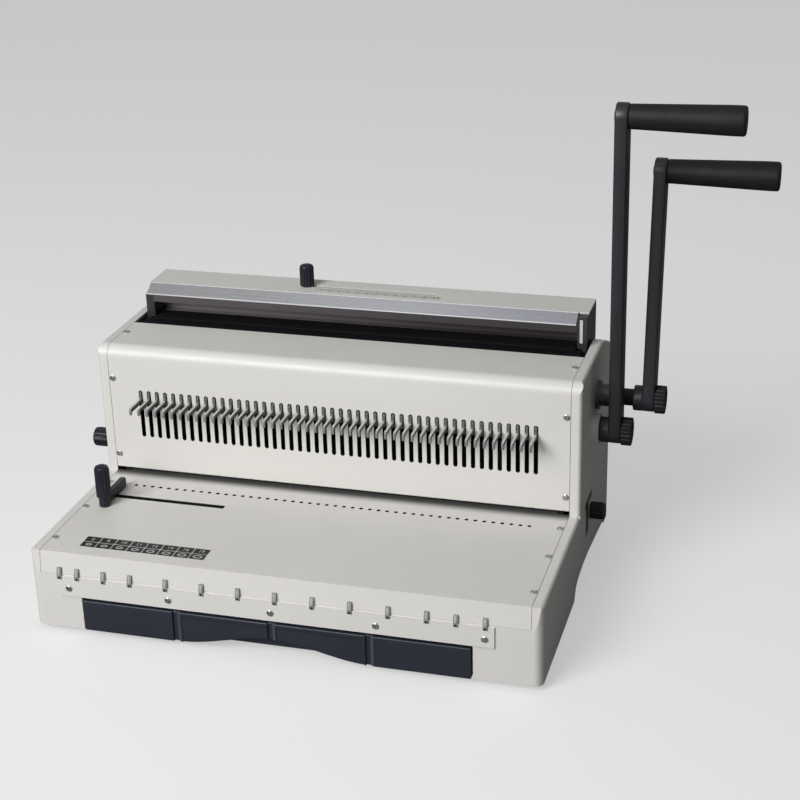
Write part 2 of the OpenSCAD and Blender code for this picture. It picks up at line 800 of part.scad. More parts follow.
module closer_cover()
  color(cream * 0.98) difference() {
    union() {
      block(-closer_at - end_t, closer_at + end_t, cover_at, cover_end, cover_z, closer_z);
      block(-closer_at - end_t, closer_at + end_t, cover_end - cover_t, cover_end, sh_z - 10, cover_z + 0.1);
    }
    block(size_x, size_x + size_len, size_y - size_w / 2, size_y + size_w / 2, cover_z - eps, closer_z + eps);
  }

module polished_strip()
  color([0.85, 0.86, 0.88]) plate_x([[jaw_at + 0.6, jaw_z1], [jaw_at + 0.6 + lip_t, jaw_z1],
    [cover_at + lip_t, cover_z], [cover_at, cover_z], [cover_at, closer_z], [cover_at - 1, closer_z]],
    -closer_at - end_t + 1, head_at - 1.5);

module fixed_jaw()
  color(charcoal) block(-head_at, head_at, jaw_at, cover_end - cover_t - 12, jaw_z0, jaw_z1);

// The closer's ends: a thin plate outside the frame that carries a thick head. The polished strip lies over the
// left head and stops short of the right one, which stands proud of it.
left_top = [[end_at, jaw_z1], [jaw_at + 0.6 + lip_t, jaw_z1], [cover_at + lip_t, cover_z]];
right_top = [[end_at, cover_z - 1.5], [end_at + 2.7, cover_z]];

module end_plate(top) {
  plate_x(concat([[end_at, frame_z - 16]], top, [[cover_end - cover_t, cover_z], [cover_end - cover_t, frame_z - 8],
    [frame_y1, frame_z - 16]]), closer_at, closer_at + end_t);
  plate_x(concat([[end_at, frame_z + liner_t]], top, [[cover_end - cover_t, cover_z],
    [cover_end - cover_t, frame_z + liner_t]]), head_at, closer_at + eps);
}

module left_end_plate() color(charcoal) mirror([1, 0, 0]) end_plate(left_top);

module right_end_plate() color(charcoal) end_plate(right_top);

module mouth_liner()
  color(charcoal * 0.8) union() {
    block(-closer_at, closer_at, mouth_y - 8, press_at - liner_gap, frame_z, frame_z + liner_t);
    block(-closer_at, closer_at, press_at + press_d + liner_gap, liner_back, frame_z, frame_z + liner_t);
    block(-head_at, head_at, liner_back - 2, liner_back, frame_z, jaw_z0);
  }

module scale_plate()
  color([0.85, 0.85, 0.83]) block(size_x + 14, size_x + size_len + 8, cover_at + 5, size_y - size_w / 2 - 4,
    closer_z, closer_z + 0.3);

module side_frame()
  difference() {
    plate_x([[frame_y0, pan_top], [frame_y1, pan_top], [frame_y1, frame_z], [frame_y0 + bend_r, frame_z],
      [frame_y0, frame_z - bend_r]], frame_at, frame_at + frame_t);
    rod_x(bush_r + bush_fit, frame_at - eps, frame_at + frame_t + eps, punch_at, punch_ax_z);
    rod_x(bush_r + bush_fit, frame_at - eps, frame_at + frame_t + eps, closing_at, closing_ax_z);
    rod_x(depth_r + run_gap, frame_at - eps, frame_at + frame_t + eps, depth_at, depth_ax_z);
  }

module left_frame() color([0.5, 0.51, 0.53]) mirror([1, 0, 0]) side_frame();

module right_frame()
  color([0.5, 0.51, 0.53]) difference() {
    side_frame();
    carrier_section(0, frame_at - eps, frame_at + frame_t + eps);
    rod_x(side_pin_r + run_gap, frame_at - eps, frame_at + frame_t + eps, side_knob_at, zb + side_knob_z);
  }

module bush(y, z)
  difference() {
    rod_x(bush_r, frame_at + frame_t / 2 - bush_len / 2, frame_at + frame_t / 2 + bush_len / 2, y, z);
    rod_x(shaft_r + run_gap, frame_at - bush_len, frame_at + frame_t + bush_len, y, z);
  }

module shaft_bushes()
  color([0.62, 0.5, 0.3]) both() {
    bush(punch_at, punch_ax_z);
    bush(closing_at, closing_ax_z);
  }

module tie_rods()
  color(steel) for (p = tie_at)
    rod_x(tie_d / 2, -frame_at, frame_at, p[0], p[1]);

module pin_holes(z0, z1)
  for (x = slot_xs)
    block(x - pin_w / 2 - pin_gap, x + pin_w / 2 + pin_gap, pin_y - pin_w / 2 - pin_gap,
      pin_y + pin_w / 2 + pin_gap, z0 - eps, z1 + eps);

module guide_plate()
  color([0.55, 0.56, 0.58]) difference() {
    block(-frame_at, frame_at, die_y0, die_y1, guide_z0, guide_z1);
    pin_holes(guide_z0, guide_z1);
  }

module die_plate()
  color([0.55, 0.56, 0.58]) difference() {
    block(-frame_at, frame_at, die_y0, die_y1, deck_z - die_t, deck_z);
    pin_holes(deck_z - die_t, deck_z);
  }

module die_carrier()
  color([0.22, 0.2, 0.19]) union() {
    block(-frame_at, frame_at, die_y1, carrier_y1, deck_z - carrier_flange, deck_z);
    carrier_section(0, -frame_at, hw - 0.5);
  }

module punch_bearing()
  color(cream * 0.93) difference() {
    rod_x(bearing_r, hw, bearing_x, punch_at, punch_ax_z);
    rod_x(shaft_r + run_gap, hw - eps, bearing_x + eps, punch_at, punch_ax_z);
  }

module closing_bearing()
  color([0.45, 0.42, 0.4]) difference() {
    union() {
      rod_x(bearing_r, hw, hw + 3, closing_at, closing_ax_z);
      rod_x(sleeve_r, hw + 2, hw + sleeve_len, closing_at, closing_ax_z);
    }
    rod_x(shaft_r + run_gap, hw - eps, hw + sleeve_len + eps, closing_at, closing_ax_z);
  }

module drawer_runners()
  color(steel) {
    block(tray_x0 - runner_gap - runner_w, tray_x0 - runner_gap, tray_y0 + 6, tray_y1, pan_top, pan_top + 12);
    block(tray_x1 + runner_gap, tray_x1 + runner_gap + runner_w, tray_y0 + 6, tray_y1, pan_top, pan_top + 12);
  }

module chip_tray()
  color([0.2, 0.21, 0.24]) difference() {
    block(tray_x0, tray_x1, tray_y0, tray_y1, pan_top + 0.3, pan_top + tray_h);
    block(tray_x0 + tray_wall, tray_x1 - tray_wall, tray_y0 + tray_wall, tray_y1 - tray_wall,
      pan_top + 0.3 + tray_wall, pan_top + tray_h + eps);
    block(front_off - arch_len / 2, front_off + arch_len / 2, tray_y0 - eps, tray_y0 - 0.5, zb, pan_top + 6);
  }

// Lower edge of the drawer front along its length
function arch_z(x) = abs(x - front_off) > arch_len / 2 ? 0
  : arch_h * (1 + cos(360 * (x - front_off) / arch_len)) / 2;
arch_pts = [for (i = [24 : -1 : 0]) let (x = front_off - arch_len / 2 + i * arch_len / 24) [x, drawer_z0 + arch_z(x)]];
// The drawer front is parted by three grooves, steep on the left and sloped on the right
groove_d = 2.2;
groove_shape = [[-3.8, -eps], [-3.8, 0], [-3.1, groove_d], [0, groove_d], [3.8, 0], [3.8, -eps]];

module drawer_front()
  color(slate) difference() {
    plate_y(concat([[drawer_x0, drawer_z0], [drawer_x0, drawer_top], [drawer_x1, drawer_top], [drawer_x1, drawer_z0]],
      arch_pts), -drawer_out, tray_y0);
    for (x = [front_off - arch_len / 2, front_off, front_off + arch_len / 2])
      translate([x, -drawer_out, zb - eps]) linear_extrude(drawer_h + 2 * eps) polygon(groove_shape);
  }

module punch_shaft()
  color(steel) {
    rod_x(shaft_r, -frame_at - frame_t - 2, p_arm1 + end_len - 2, punch_at, punch_ax_z);
    for (x = [-punch_cam_at, punch_cam_at])
      rod_x(punch_cam_r, x - cam_t / 2, x + cam_t / 2, punch_cy, punch_cz);
  }

// A lever stands up from its shaft and leans forward by an angle
module at_shaft(y, z, lean) translate([0, y, z]) rotate([lean, 0, 0]) children();

module lever_arm(len, x_hub, x0, x1)
  difference() {
    union() {
      block(x0, x1, -arm_w / 2, arm_w / 2, 0, len);
      rod_x(arm_w / 2, x0, x1, 0, 0);
      rod_x(arm_w / 2, x0, x1, 0, len);
      rod_x(hub_r, x_hub, x0 + 0.5, 0, 0);
    }
    rod_x(shaft_r + fit_gap, x_hub - eps, x1 + eps, 0, 0);
    rod_x(grip_bolt + fit_gap, x0 - eps, x1 + eps, 0, len);
  }

module end_knob(x)
  difference() {
    translate([x, 0, 0]) rotate([0, 90, 0]) ribbed_rod(end_r, end_len, 18, 0.8);
    rod_x(shaft_r + fit_gap, x - eps, x + end_len - 2, 0, 0);
  }

module grip(x, len, x_in)
  translate([x, 0, len]) rotate([0, 90, 0]) union() {
    rotate_extrude() polygon([[0, 0], [grip_r0, 0], [grip_r0 + 0.3, 4], [grip_r1, grip_len - 14],
      [grip_r1, grip_len - 2], [grip_r1 - 0.6, grip_len - 0.6], [grip_r1 - 2, grip_len], [0, grip_len]]);
    translate([0, 0, -x_in]) cylinder(r = grip_bolt, h = x_in + 0.5);
  }

module punch_arm()
  color(charcoal) at_shaft(punch_at, punch_ax_z, punch_lean) lever_arm(punch_len, p_hub0, p_arm0, p_arm1);

module punch_end_knob()
  color(charcoal) at_shaft(punch_at, punch_ax_z, punch_lean) end_knob(p_arm1);

module punch_grip()
  color(charcoal * 0.9) at_shaft(punch_at, punch_ax_z, punch_lean) grip(p_arm1, punch_len, arm_t);

jaw_clear = punch_e - punch_e * cos(punch_swing / 2);
yoke_y0 = punch_cy - jaw_clear - punch_cam_r - cam_gap - yoke_wall;
yoke_y1 = punch_at + punch_cam_r * 0.7;
yoke_half = punch_cam_r + cam_gap;

module punch_ram()
  color([0.5, 0.51, 0.53]) {
    block(-slide_x, slide_x, ram_y0, ram_y1, ram_z0, ram_z0 + ram_h);
    for (x = [-punch_cam_at, punch_cam_at]) {
      block(x - cam_t / 2, x + cam_t / 2, ram_y0, ram_y1 + ram_riser, ram_z0, punch_cz);
      difference() {
        block(x - cam_t / 2, x + cam_t / 2, ram_y1, yoke_y1, punch_cz - yoke_half - yoke_wall,
          punch_cz + yoke_half + yoke_wall);
        block(x - cam_t, x + cam_t, yoke_y0 + yoke_wall, yoke_y1 + eps, punch_cz - yoke_half, punch_cz + yoke_half);
      }
    }
  }

module punch_pins()
  color(steel) for (x = slot_xs)
    block(x - pin_w / 2, x + pin_w / 2, pin_y - pin_w / 2, pin_y + pin_w / 2, pin_z0, ram_z0);

module closing_shaft()
  color(steel) {
    rod_x(shaft_r, -frame_at - frame_t - 2, c_arm1 + end_len - 2, closing_at, closing_ax_z);
    for (x = [-closing_cam_at, closing_cam_at])
      rod_x(closing_cam_r, x - cam_t / 2, x + cam_t / 2, closing_cy, closing_cz);
  }

module closing_arm()
  color(charcoal) at_shaft(closing_at, closing_ax_z, -closing_lean) lever_arm(closing_len, c_hub0, c_arm0, c_arm1);

module closing_end_knob()
  color(charcoal) at_shaft(closing_at, closing_ax_z, -closing_lean) end_knob(c_arm1);

module closing_grip()
  color(charcoal * 0.9) at_shaft(closing_at, closing_ax_z, -closing_lean) grip(c_arm1, closing_len, arm_t);

press_clear = closing_e - closing_e * cos(closing_swing / 2);
press_half = closing_cam_r + cam_gap;
press_in = closing_cy + press_clear + closing_cam_r + cam_gap;
press_yoke0 = closing_at - shaft_r;

module press_bar()
  color([0.42, 0.43, 0.45]) {
    block(-slide_x, slide_x, press_at, press_at + press_d, press_z0, press_z1);
    for (x = [-closing_cam_at, closing_cam_at]) {
      block(x - cam_t / 2, x + cam_t / 2, press_at, press_at + press_d, closing_cz + press_half, press_z0);
      difference() {
        block(x - cam_t / 2, x + cam_t / 2, press_yoke0, press_in + yoke_wall, closing_cz - press_half - yoke_wall,
          closing_cz + press_half + yoke_wall);
        block(x - cam_t, x + cam_t, press_yoke0 - eps, press_in, closing_cz - press_half, closing_cz + press_half);
      }
    }
  }

module size_slider()
  color([0.3, 0.3, 0.32]) union() {
    block(size_at - slider_len / 2, size_at + slider_len / 2, size_y - slider_d / 2, size_y + slider_d / 2,
      jaw_z1 + 0.3, cover_z - 0.3);
    rod_z(size_stem, size_at, size_y, cover_z - 0.5, closer_z + 0.4);
  }

module size_knob()
  color(slate * 0.7) translate([size_at, size_y, closer_z + 0.4]) union() {
    ribbed_rod(size_d / 2, size_h - 3, 14, 0.8);
    translate([0, 0, size_h - 3]) cylinder(r1 = size_d / 2 - 0.8, r2 = size_d / 2 - 2.6, h = 3);
  }

module depth_shaft()
  color(steel) {
    rod_x(depth_r, -hw - 8, frame_at + frame_t, depth_at, depth_ax_z);
    for (x = [-stop_x, stop_x])
      rod_x(depth_cam_r, x - stop_t / 2, x + stop_t / 2, depth_cy, depth_cz);
  }

module depth_knob()
  color(slate * 0.9) difference() {
    translate([-hw - 3 - depth_knob_len, depth_at, depth_ax_z]) rotate([0, 90, 0])
      union() {
        ribbed_rod(depth_knob_r, depth_knob_len - 4, 8, 1.6);
        translate([0, 0, depth_knob_len - 4.2]) cylinder(r = depth_knob_r - 2, h = 4.2 + 2.4);
      }
    rod_x(depth_r + fit_gap, -hw - 8, -hw + eps, depth_at, depth_ax_z);
  }

stop_half = depth_cam_r + cam_gap;
stop_win0 = depth_cy - stop_half;
stop_win1 = depth_cy + stop_half;
stop_rise = depth_cam_r + depth_e + 0.8;

module back_stop()
  color([0.5, 0.51, 0.53]) {
    block(-frame_at + 14, frame_at - 14, stop_y0, stop_win0, stop_z0, stop_z1);
    for (x = [-stop_x, stop_x])
      difference() {
        block(x - stop_t / 2, x + stop_t / 2, stop_win0 - stop_wall, stop_win1 + stop_wall, stop_z0,
          depth_ax_z + stop_rise + stop_wall);
        block(x - stop_t, x + stop_t, stop_win0, stop_win1, depth_ax_z - stop_rise, depth_ax_z + stop_rise);
      }
  }

module edge_guide()
  color(charcoal * 0.8) difference() {
    union() {
      block(guide_mid - guide_w / 2, guide_mid + guide_w / 2, guide_y0, guide_y0 + guide_bar,
        deck_z + deck_gap, clamp_z);
      rod_z(clamp_d / 2 - 2, guide_mid, clamp_y, deck_z + deck_gap, clamp_z);
      block(guide_stem0, guide_stem0 + guide_stem, guide_at - guide_slot / 2 + 0.3, guide_at + guide_slot / 2 - 0.3,
        deck_z - sheet_t - deck_gap - 0.5, deck_z + deck_gap + 0.5);
      block(guide_mid - 6, guide_mid + 6, guide_at - guide_slot, guide_at + guide_slot,
        deck_z - sheet_t - deck_gap - 3, deck_z - sheet_t - deck_gap);
    }
    rod_z(clamp_pin + run_gap, guide_mid, clamp_y, deck_z + deck_gap + 2, clamp_z + eps);
  }

module guide_clamp_knob()
  color(charcoal * 0.75) translate([guide_mid, clamp_y, clamp_z + 0.3]) union() {
    translate([0, 0, -guide_h + 2.8]) cylinder(r = clamp_pin, h = guide_h);
    ribbed_rod(clamp_d / 2, clamp_h - clamp_d / 4, 16, 0.8);
    translate([0, 0, clamp_h - clamp_d / 4 - 0.1]) rotate_extrude()
      polygon([[0, 0], [clamp_d / 2 - 1, 0], [clamp_d / 2 - 1.6, clamp_d * 0.12], [clamp_d / 2 - 3.4, clamp_d * 0.2],
        [0, clamp_d / 4]]);
  }

module side_clamp_knob()
  color([0.2, 0.19, 0.18]) translate([hw + 0.6, side_knob_at, zb + side_knob_z]) rotate([0, 90, 0]) union() {
    ribbed_rod(side_knob_r, side_knob_len, 14, 0.8);
    translate([0, 0, frame_at - hw - 0.6]) cylinder(r = side_pin_r, h = hw + 1.6 - frame_at);
  }

place() base_pan();
place() rubber_feet();
place() front_panel();
place() deck_panel();
place() left_side_panel();
place() right_side_panel();
place() rear_panel();
place() tower_panel();
place() hook_plate();
place() front_strip();
place() strip_clips();
place() strip_screws();
place() deck_screws();
place() tower_screws();
place() settings_label();
place() closer_cover();
place() polished_strip();
place() fixed_jaw();
place() left_end_plate();
place() right_end_plate();
place() mouth_liner();
place() scale_plate();
place() left_frame();
place() right_frame();
place() shaft_bushes();
place() tie_rods();
place() guide_plate();
place() die_plate();
place() die_carrier();
place() punch_bearing();
place() closing_bearing();
place() drawer_runners();
place() chip_tray();
place() drawer_front();
place() punch_shaft();
place() punch_arm();
place() punch_end_knob();
place() punch_grip();
place() punch_ram();
place() punch_pins();
place() closing_shaft();
place() closing_arm();
place() closing_end_knob();
place() closing_grip();
place() press_bar();
place() size_slider();
place() size_knob();
place() depth_shaft();
place() depth_knob();
place() back_stop();
place() edge_guide();
place() guide_clamp_knob();
place() side_clamp_knob();
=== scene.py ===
import math

import bmesh
import bpy
import numpy as np
from mathutils import Matrix, Vector


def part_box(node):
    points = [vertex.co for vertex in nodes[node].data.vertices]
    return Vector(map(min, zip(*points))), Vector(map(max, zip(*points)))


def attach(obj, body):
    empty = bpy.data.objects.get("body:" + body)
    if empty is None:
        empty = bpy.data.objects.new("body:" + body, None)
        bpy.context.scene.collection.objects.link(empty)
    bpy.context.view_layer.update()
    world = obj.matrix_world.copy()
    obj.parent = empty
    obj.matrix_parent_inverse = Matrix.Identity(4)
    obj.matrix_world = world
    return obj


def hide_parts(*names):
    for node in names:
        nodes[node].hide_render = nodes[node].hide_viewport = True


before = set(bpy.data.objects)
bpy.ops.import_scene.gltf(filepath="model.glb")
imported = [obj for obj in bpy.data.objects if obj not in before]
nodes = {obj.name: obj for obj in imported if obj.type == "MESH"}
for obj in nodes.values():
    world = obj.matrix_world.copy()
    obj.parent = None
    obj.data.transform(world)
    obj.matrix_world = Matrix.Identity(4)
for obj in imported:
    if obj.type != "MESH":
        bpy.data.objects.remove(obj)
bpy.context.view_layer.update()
print("frame loaded:", len(nodes), "nodes")

# camera: turn, tilt and roll in degrees, place in metres, lens for a 36 mm wide sensor
cameraSet = {"turn": 16.206, "tilt": 23.012, "roll": -1.4935, "place": (0.40889, -1.39205, 0.80419), "lens": 77.135,
    "sensor": 36, "near": 0.05, "far": 50}

# studio: soft lamps from the front left, a dim sky, and a floor that looks pale but throws little light back
studioSet = {
    "floorSeen": (0.42, 0.42, 0.42), "floorThrown": (0.22, 0.22, 0.22), "sky": (1.0, 1.0, 1.0), "skyPower": 0.14,
    "skySeen": 0.72, "skyMirrored": 0.34, "floorGlow": 0.46, "floorHalf": 7.0, "floorRough": 0.85,
    "lamps": [
        {"at": (-1.1, -2.3, 1.7), "to": (0.0, 0.0, 0.12), "size": 1.6, "watts": 82},
        {"at": (-0.3, -0.7, 2.6), "to": (0.0, 0.0, 0.1), "size": 1.8, "watts": 6},
    ],
}


def makeCamera(s):
    a, e, r = (math.radians(s[k]) for k in ("turn", "tilt", "roll"))
    back = Vector((math.sin(a) * math.cos(e), -math.cos(a) * math.cos(e), math.sin(e)))
    side = Vector((math.cos(a), math.sin(a), 0))
    rise = back.cross(side)
    right = side * math.cos(r) + rise * math.sin(r)
    up = rise * math.cos(r) - side * math.sin(r)
    data = bpy.data.cameras.new("photoCamera")
    data.sensor_width = s["sensor"]
    data.lens = s["lens"]
    data.clip_start, data.clip_end = s["near"], s["far"]
    cam = bpy.data.objects.new("photoCamera", data)
    bpy.context.scene.collection.objects.link(cam)
    turn = Matrix((right, up, back)).transposed().to_4x4()
    turn.translation = Vector(s["place"])
    cam.matrix_world = turn
    bpy.context.scene.camera = cam


def makeStudio(s):
    world = bpy.data.worlds.new("studioSky")
    bpy.context.scene.world = world
    world.use_nodes = True
    tree = world.node_tree
    sky = tree.nodes["Background"]
    sky.inputs["Color"].default_value = (*s["sky"], 1)
    path = tree.nodes.new("ShaderNodeLightPath")
    power = s["skyPower"]
    for ray, strength in (("Is Glossy Ray", s["skyMirrored"]), ("Is Camera Ray", s["skySeen"])):
        pick = tree.nodes.new("ShaderNodeMix")
        tree.links.new(path.outputs[ray], pick.inputs[0])
        if isinstance(power, float):
            pick.inputs[2].default_value = power
        else:
            tree.links.new(power, pick.inputs[2])
        pick.inputs[3].default_value = strength
        power = pick.outputs[0]
    tree.links.new(power, sky.inputs["Strength"])
    for i, lamp in enumerate(s["lamps"]):
        data = bpy.data.lights.new(f"softLamp{i}", "AREA")
        data.shape = "SQUARE"
        data.size = lamp["size"]
        data.energy = lamp["watts"]
        obj = bpy.data.objects.new(f"softLamp{i}", data)
        bpy.context.scene.collection.objects.link(obj)
        obj.location = lamp["at"]
        obj.rotation_euler = (Vector(lamp["to"]) - Vector(lamp["at"])).to_track_quat("-Z", "Y").to_euler()
    mesh = bpy.data.meshes.new("studioFloor")
    h = s["floorHalf"]
    mesh.from_pydata([(-h, -h, 0), (h, -h, 0), (h, h, 0), (-h, h, 0)], [], [(0, 1, 2, 3)])
    floor = bpy.data.objects.new("studioFloor", mesh)
    bpy.context.scene.collection.objects.link(floor)
    mat = bpy.data.materials.new("paleFloor")
    mat.use_nodes = True
    tree = mat.node_tree
    shader = tree.nodes["Principled BSDF"]
    tone = tree.nodes.new("ShaderNodeMix")
    tone.data_type = "RGBA"
    seen = tree.nodes.new("ShaderNodeLightPath").outputs["Is Camera Ray"]
    tree.links.new(seen, tone.inputs[0])
    glow = tree.nodes.new("ShaderNodeMath")
    glow.operation = "MULTIPLY"
    tree.links.new(seen, glow.inputs[0])
    glow.inputs[1].default_value = s["floorGlow"]
    shader.inputs["Emission Color"].default_value = (1, 1, 1, 1)
    tree.links.new(glow.outputs[0], shader.inputs["Emission Strength"])
    tone.inputs[6].default_value, tone.inputs[7].default_value = (*s["floorThrown"], 1), (*s["floorSeen"], 1)
    tree.links.new(tone.outputs[2], shader.inputs["Base Color"])
    shader.inputs["Roughness"].default_value = s["floorRough"]
    mesh.materials.append(mat)


makeCamera(cameraSet)
makeStudio(studioSet)
bpy.context.scene.view_settings.view_transform = "Standard"
print("studio ready")


# node groups shared by the finishes: noise detail and roughness by use, the edge mask (worn edges and painted edge
# highlights) and bump depth in metres

nodeSet = {
    "fine": (2.0, 0.55), "tone": (4.0, 0.6), "smudge": (5.0, 0.65), "smudgeScale": 4.3,
    "edgeRadius": 0.0012, "edgeSamples": 4, "edgeGain": 5.0, "edgeScale": 160.0, "edgeNoise": (4.0, 0.7),
    "brushNoise": (3.0, 0.6), "brushTone": 40.0, "brushMix": (0.5, 0.5), "contrast": (0.3, 0.7), "bumpDepth": 0.0004,
    "shine": 0.5,
}


def newGroup(name, ins, outs):
    tree = bpy.data.node_groups.new(name, "ShaderNodeTree")
    for label, kind in ins:
        tree.interface.new_socket(label, in_out="INPUT", socket_type=kind)
    for label, kind in outs:
        tree.interface.new_socket(label, in_out="OUTPUT", socket_type=kind)
    return tree, tree.nodes.new("NodeGroupInput"), tree.nodes.new("NodeGroupOutput")


def addNode(tree, kind, **sets):
    node = tree.nodes.new(kind)
    for key, value in sets.items():
        setattr(node, key, value)
    return node


def mathNode(tree, how, a, b=None, c=None, clamp=False):
    node = addNode(tree, "ShaderNodeMath", operation=how, use_clamp=clamp)
    for slot, value in zip(node.inputs, (a, b, c)):
        if value is None:
            continue
        if isinstance(value, (int, float)):
            slot.default_value = value
        else:
            tree.links.new(value, slot)
    return node.outputs[0]


def noiseNode(tree, vector, scale, detail, rough):
    node = addNode(tree, "ShaderNodeTexNoise")
    tree.links.new(vector, node.inputs["Vector"])
    if isinstance(scale, (int, float)):
        node.inputs["Scale"].default_value = scale
    else:
        tree.links.new(scale, node.inputs["Scale"])
    node.inputs["Detail"].default_value = detail
    node.inputs["Roughness"].default_value = rough
    return node.outputs["Fac"]


def grainGroup():
    # grain: fine noise for the skin, broad noise for slow changes of tone
    tree, gin, gout = newGroup("skinGrain",
        [("Vector", "NodeSocketVector"), ("Fine", "NodeSocketFloat"), ("Broad", "NodeSocketFloat")],
        [("Height", "NodeSocketFloat"), ("Tone", "NodeSocketFloat"), ("Smudge", "NodeSocketFloat")])
    fine = noiseNode(tree, gin.outputs["Vector"], gin.outputs["Fine"], *nodeSet["fine"])
    tone = noiseNode(tree, gin.outputs["Vector"], gin.outputs["Broad"], *nodeSet["tone"])
    scale = mathNode(tree, "MULTIPLY", gin.outputs["Broad"], nodeSet["smudgeScale"])
    rubAndSheen = noiseNode(tree, gin.outputs["Vector"], scale, *nodeSet["smudge"])
    tree.links.new(fine, gout.inputs["Height"])
    tree.links.new(tone, gout.inputs["Tone"])
    tree.links.new(rubAndSheen, gout.inputs["Smudge"])
    return tree


def edgeGroup():
    # edge mask for worn edges and painted edge highlights: how far a rounded normal leans from the true one, broken up
    # by noise
    tree, gin, gout = newGroup("edgeWearAndSheen",
        [("Vector", "NodeSocketVector"), ("Amount", "NodeSocketFloat")], [("Mask", "NodeSocketFloat")])
    soft = addNode(tree, "ShaderNodeBevel", samples=nodeSet["edgeSamples"])
    soft.inputs["Radius"].default_value = nodeSet["edgeRadius"]
    true = addNode(tree, "ShaderNodeNewGeometry")
    dot = addNode(tree, "ShaderNodeVectorMath", operation="DOT_PRODUCT")
    tree.links.new(soft.outputs["Normal"], dot.inputs[0])
    tree.links.new(true.outputs["Normal"], dot.inputs[1])
    lean = mathNode(tree, "SUBTRACT", 1.0, dot.outputs["Value"])
    broken = noiseNode(tree, gin.outputs["Vector"], nodeSet["edgeScale"], *nodeSet["edgeNoise"])
    rubAndSheen = mathNode(tree, "MULTIPLY", mathNode(tree, "MULTIPLY", lean, nodeSet["edgeGain"]), broken)
    tree.links.new(mathNode(tree, "MULTIPLY", rubAndSheen, gin.outputs["Amount"], clamp=True), gout.inputs["Mask"])
    return tree


def brushGroup():
    # brushing: noise drawn out along one axis by a stretched vector
    tree, gin, gout = newGroup("brushLines",
        [("Vector", "NodeSocketVector"), ("Stretch", "NodeSocketVector")],
        [("Height", "NodeSocketFloat"), ("Tone", "NodeSocketFloat")])
    drawn = addNode(tree, "ShaderNodeVectorMath", operation="MULTIPLY")
    tree.links.new(gin.outputs["Vector"], drawn.inputs[0])
    tree.links.new(gin.outputs["Stretch"], drawn.inputs[1])
    lines = noiseNode(tree, drawn.outputs["Vector"], 1.0, *nodeSet["brushNoise"])
    tone = noiseNode(tree, gin.outputs["Vector"], nodeSet["brushTone"], *nodeSet["tone"])
    tree.links.new(lines, gout.inputs["Height"])
    tree.links.new(tone, gout.inputs["Tone"])
    return tree


skinGrain, edgeWearAndSheen, brushLines = grainGroup(), edgeGroup(), brushGroup()


def groupNode(tree, group, vector, **values):
    node = addNode(tree, "ShaderNodeGroup", node_tree=group)
    tree.links.new(vector, node.inputs["Vector"])
    for key, value in values.items():
        node.inputs[key].default_value = value
    return node


def mixColour(tree, fac, a, b):
    node = addNode(tree, "ShaderNodeMix", data_type="RGBA", clamp_factor=True)
    for slot, value in ((node.inputs[0], fac), (node.inputs[6], a), (node.inputs[7], b)):
        if isinstance(value, (int, float)):
            slot.default_value = value
        elif isinstance(value, tuple):
            slot.default_value = (*value, 1)
        else:
            tree.links.new(value, slot)
    return node.outputs[2]


def rangeNode(tree, value, low, high):
    node = addNode(tree, "ShaderNodeMapRange")
    tree.links.new(value, node.inputs["Value"])
    node.inputs["From Min"].default_value, node.inputs["From Max"].default_value = nodeSet["contrast"]
    node.inputs["To Min"].default_value, node.inputs["To Max"].default_value = low, high
    return node.outputs["Result"]


# finishes: two tones of the colour, the edges' colour (worn edges and painted edge highlights), gloss range, grain
# sizes and depth; the first four are shared starts, the painted-light entry is a painted shade in some finishes and a
# painted highlight in others, for places told by axis, side and limit, and the painted-shade entry darkens the colour
# slowly along one axis
creamBase = {"tones": ((0.745, 0.730, 0.695), (0.715, 0.700, 0.668)), "rubAndSheen": (0.60, 0.585, 0.56), "edge": 0.35,
    "rough": (0.36, 0.46), "fine": 1100.0, "broad": 7.0, "bump": 0.05, "metal": 0.0}
paintBase = {"rough": (0.34, 0.46), "fine": 1300.0, "broad": 14.0, "bump": 0.08, "metal": 0.0}
slateBase = {"tones": ((0.021, 0.025, 0.038), (0.017, 0.021, 0.032)), "rubAndSheen": (0.06, 0.065, 0.08), "edge": 0.45,
    "rough": (0.36, 0.48), "fine": 1700.0, "broad": 12.0, "bump": 0.14, "metal": 0.0}
printBase = {"rough": (0.45, 0.55), "fine": 2200.0, "broad": 50.0, "bump": 0.03, "metal": 0.0}
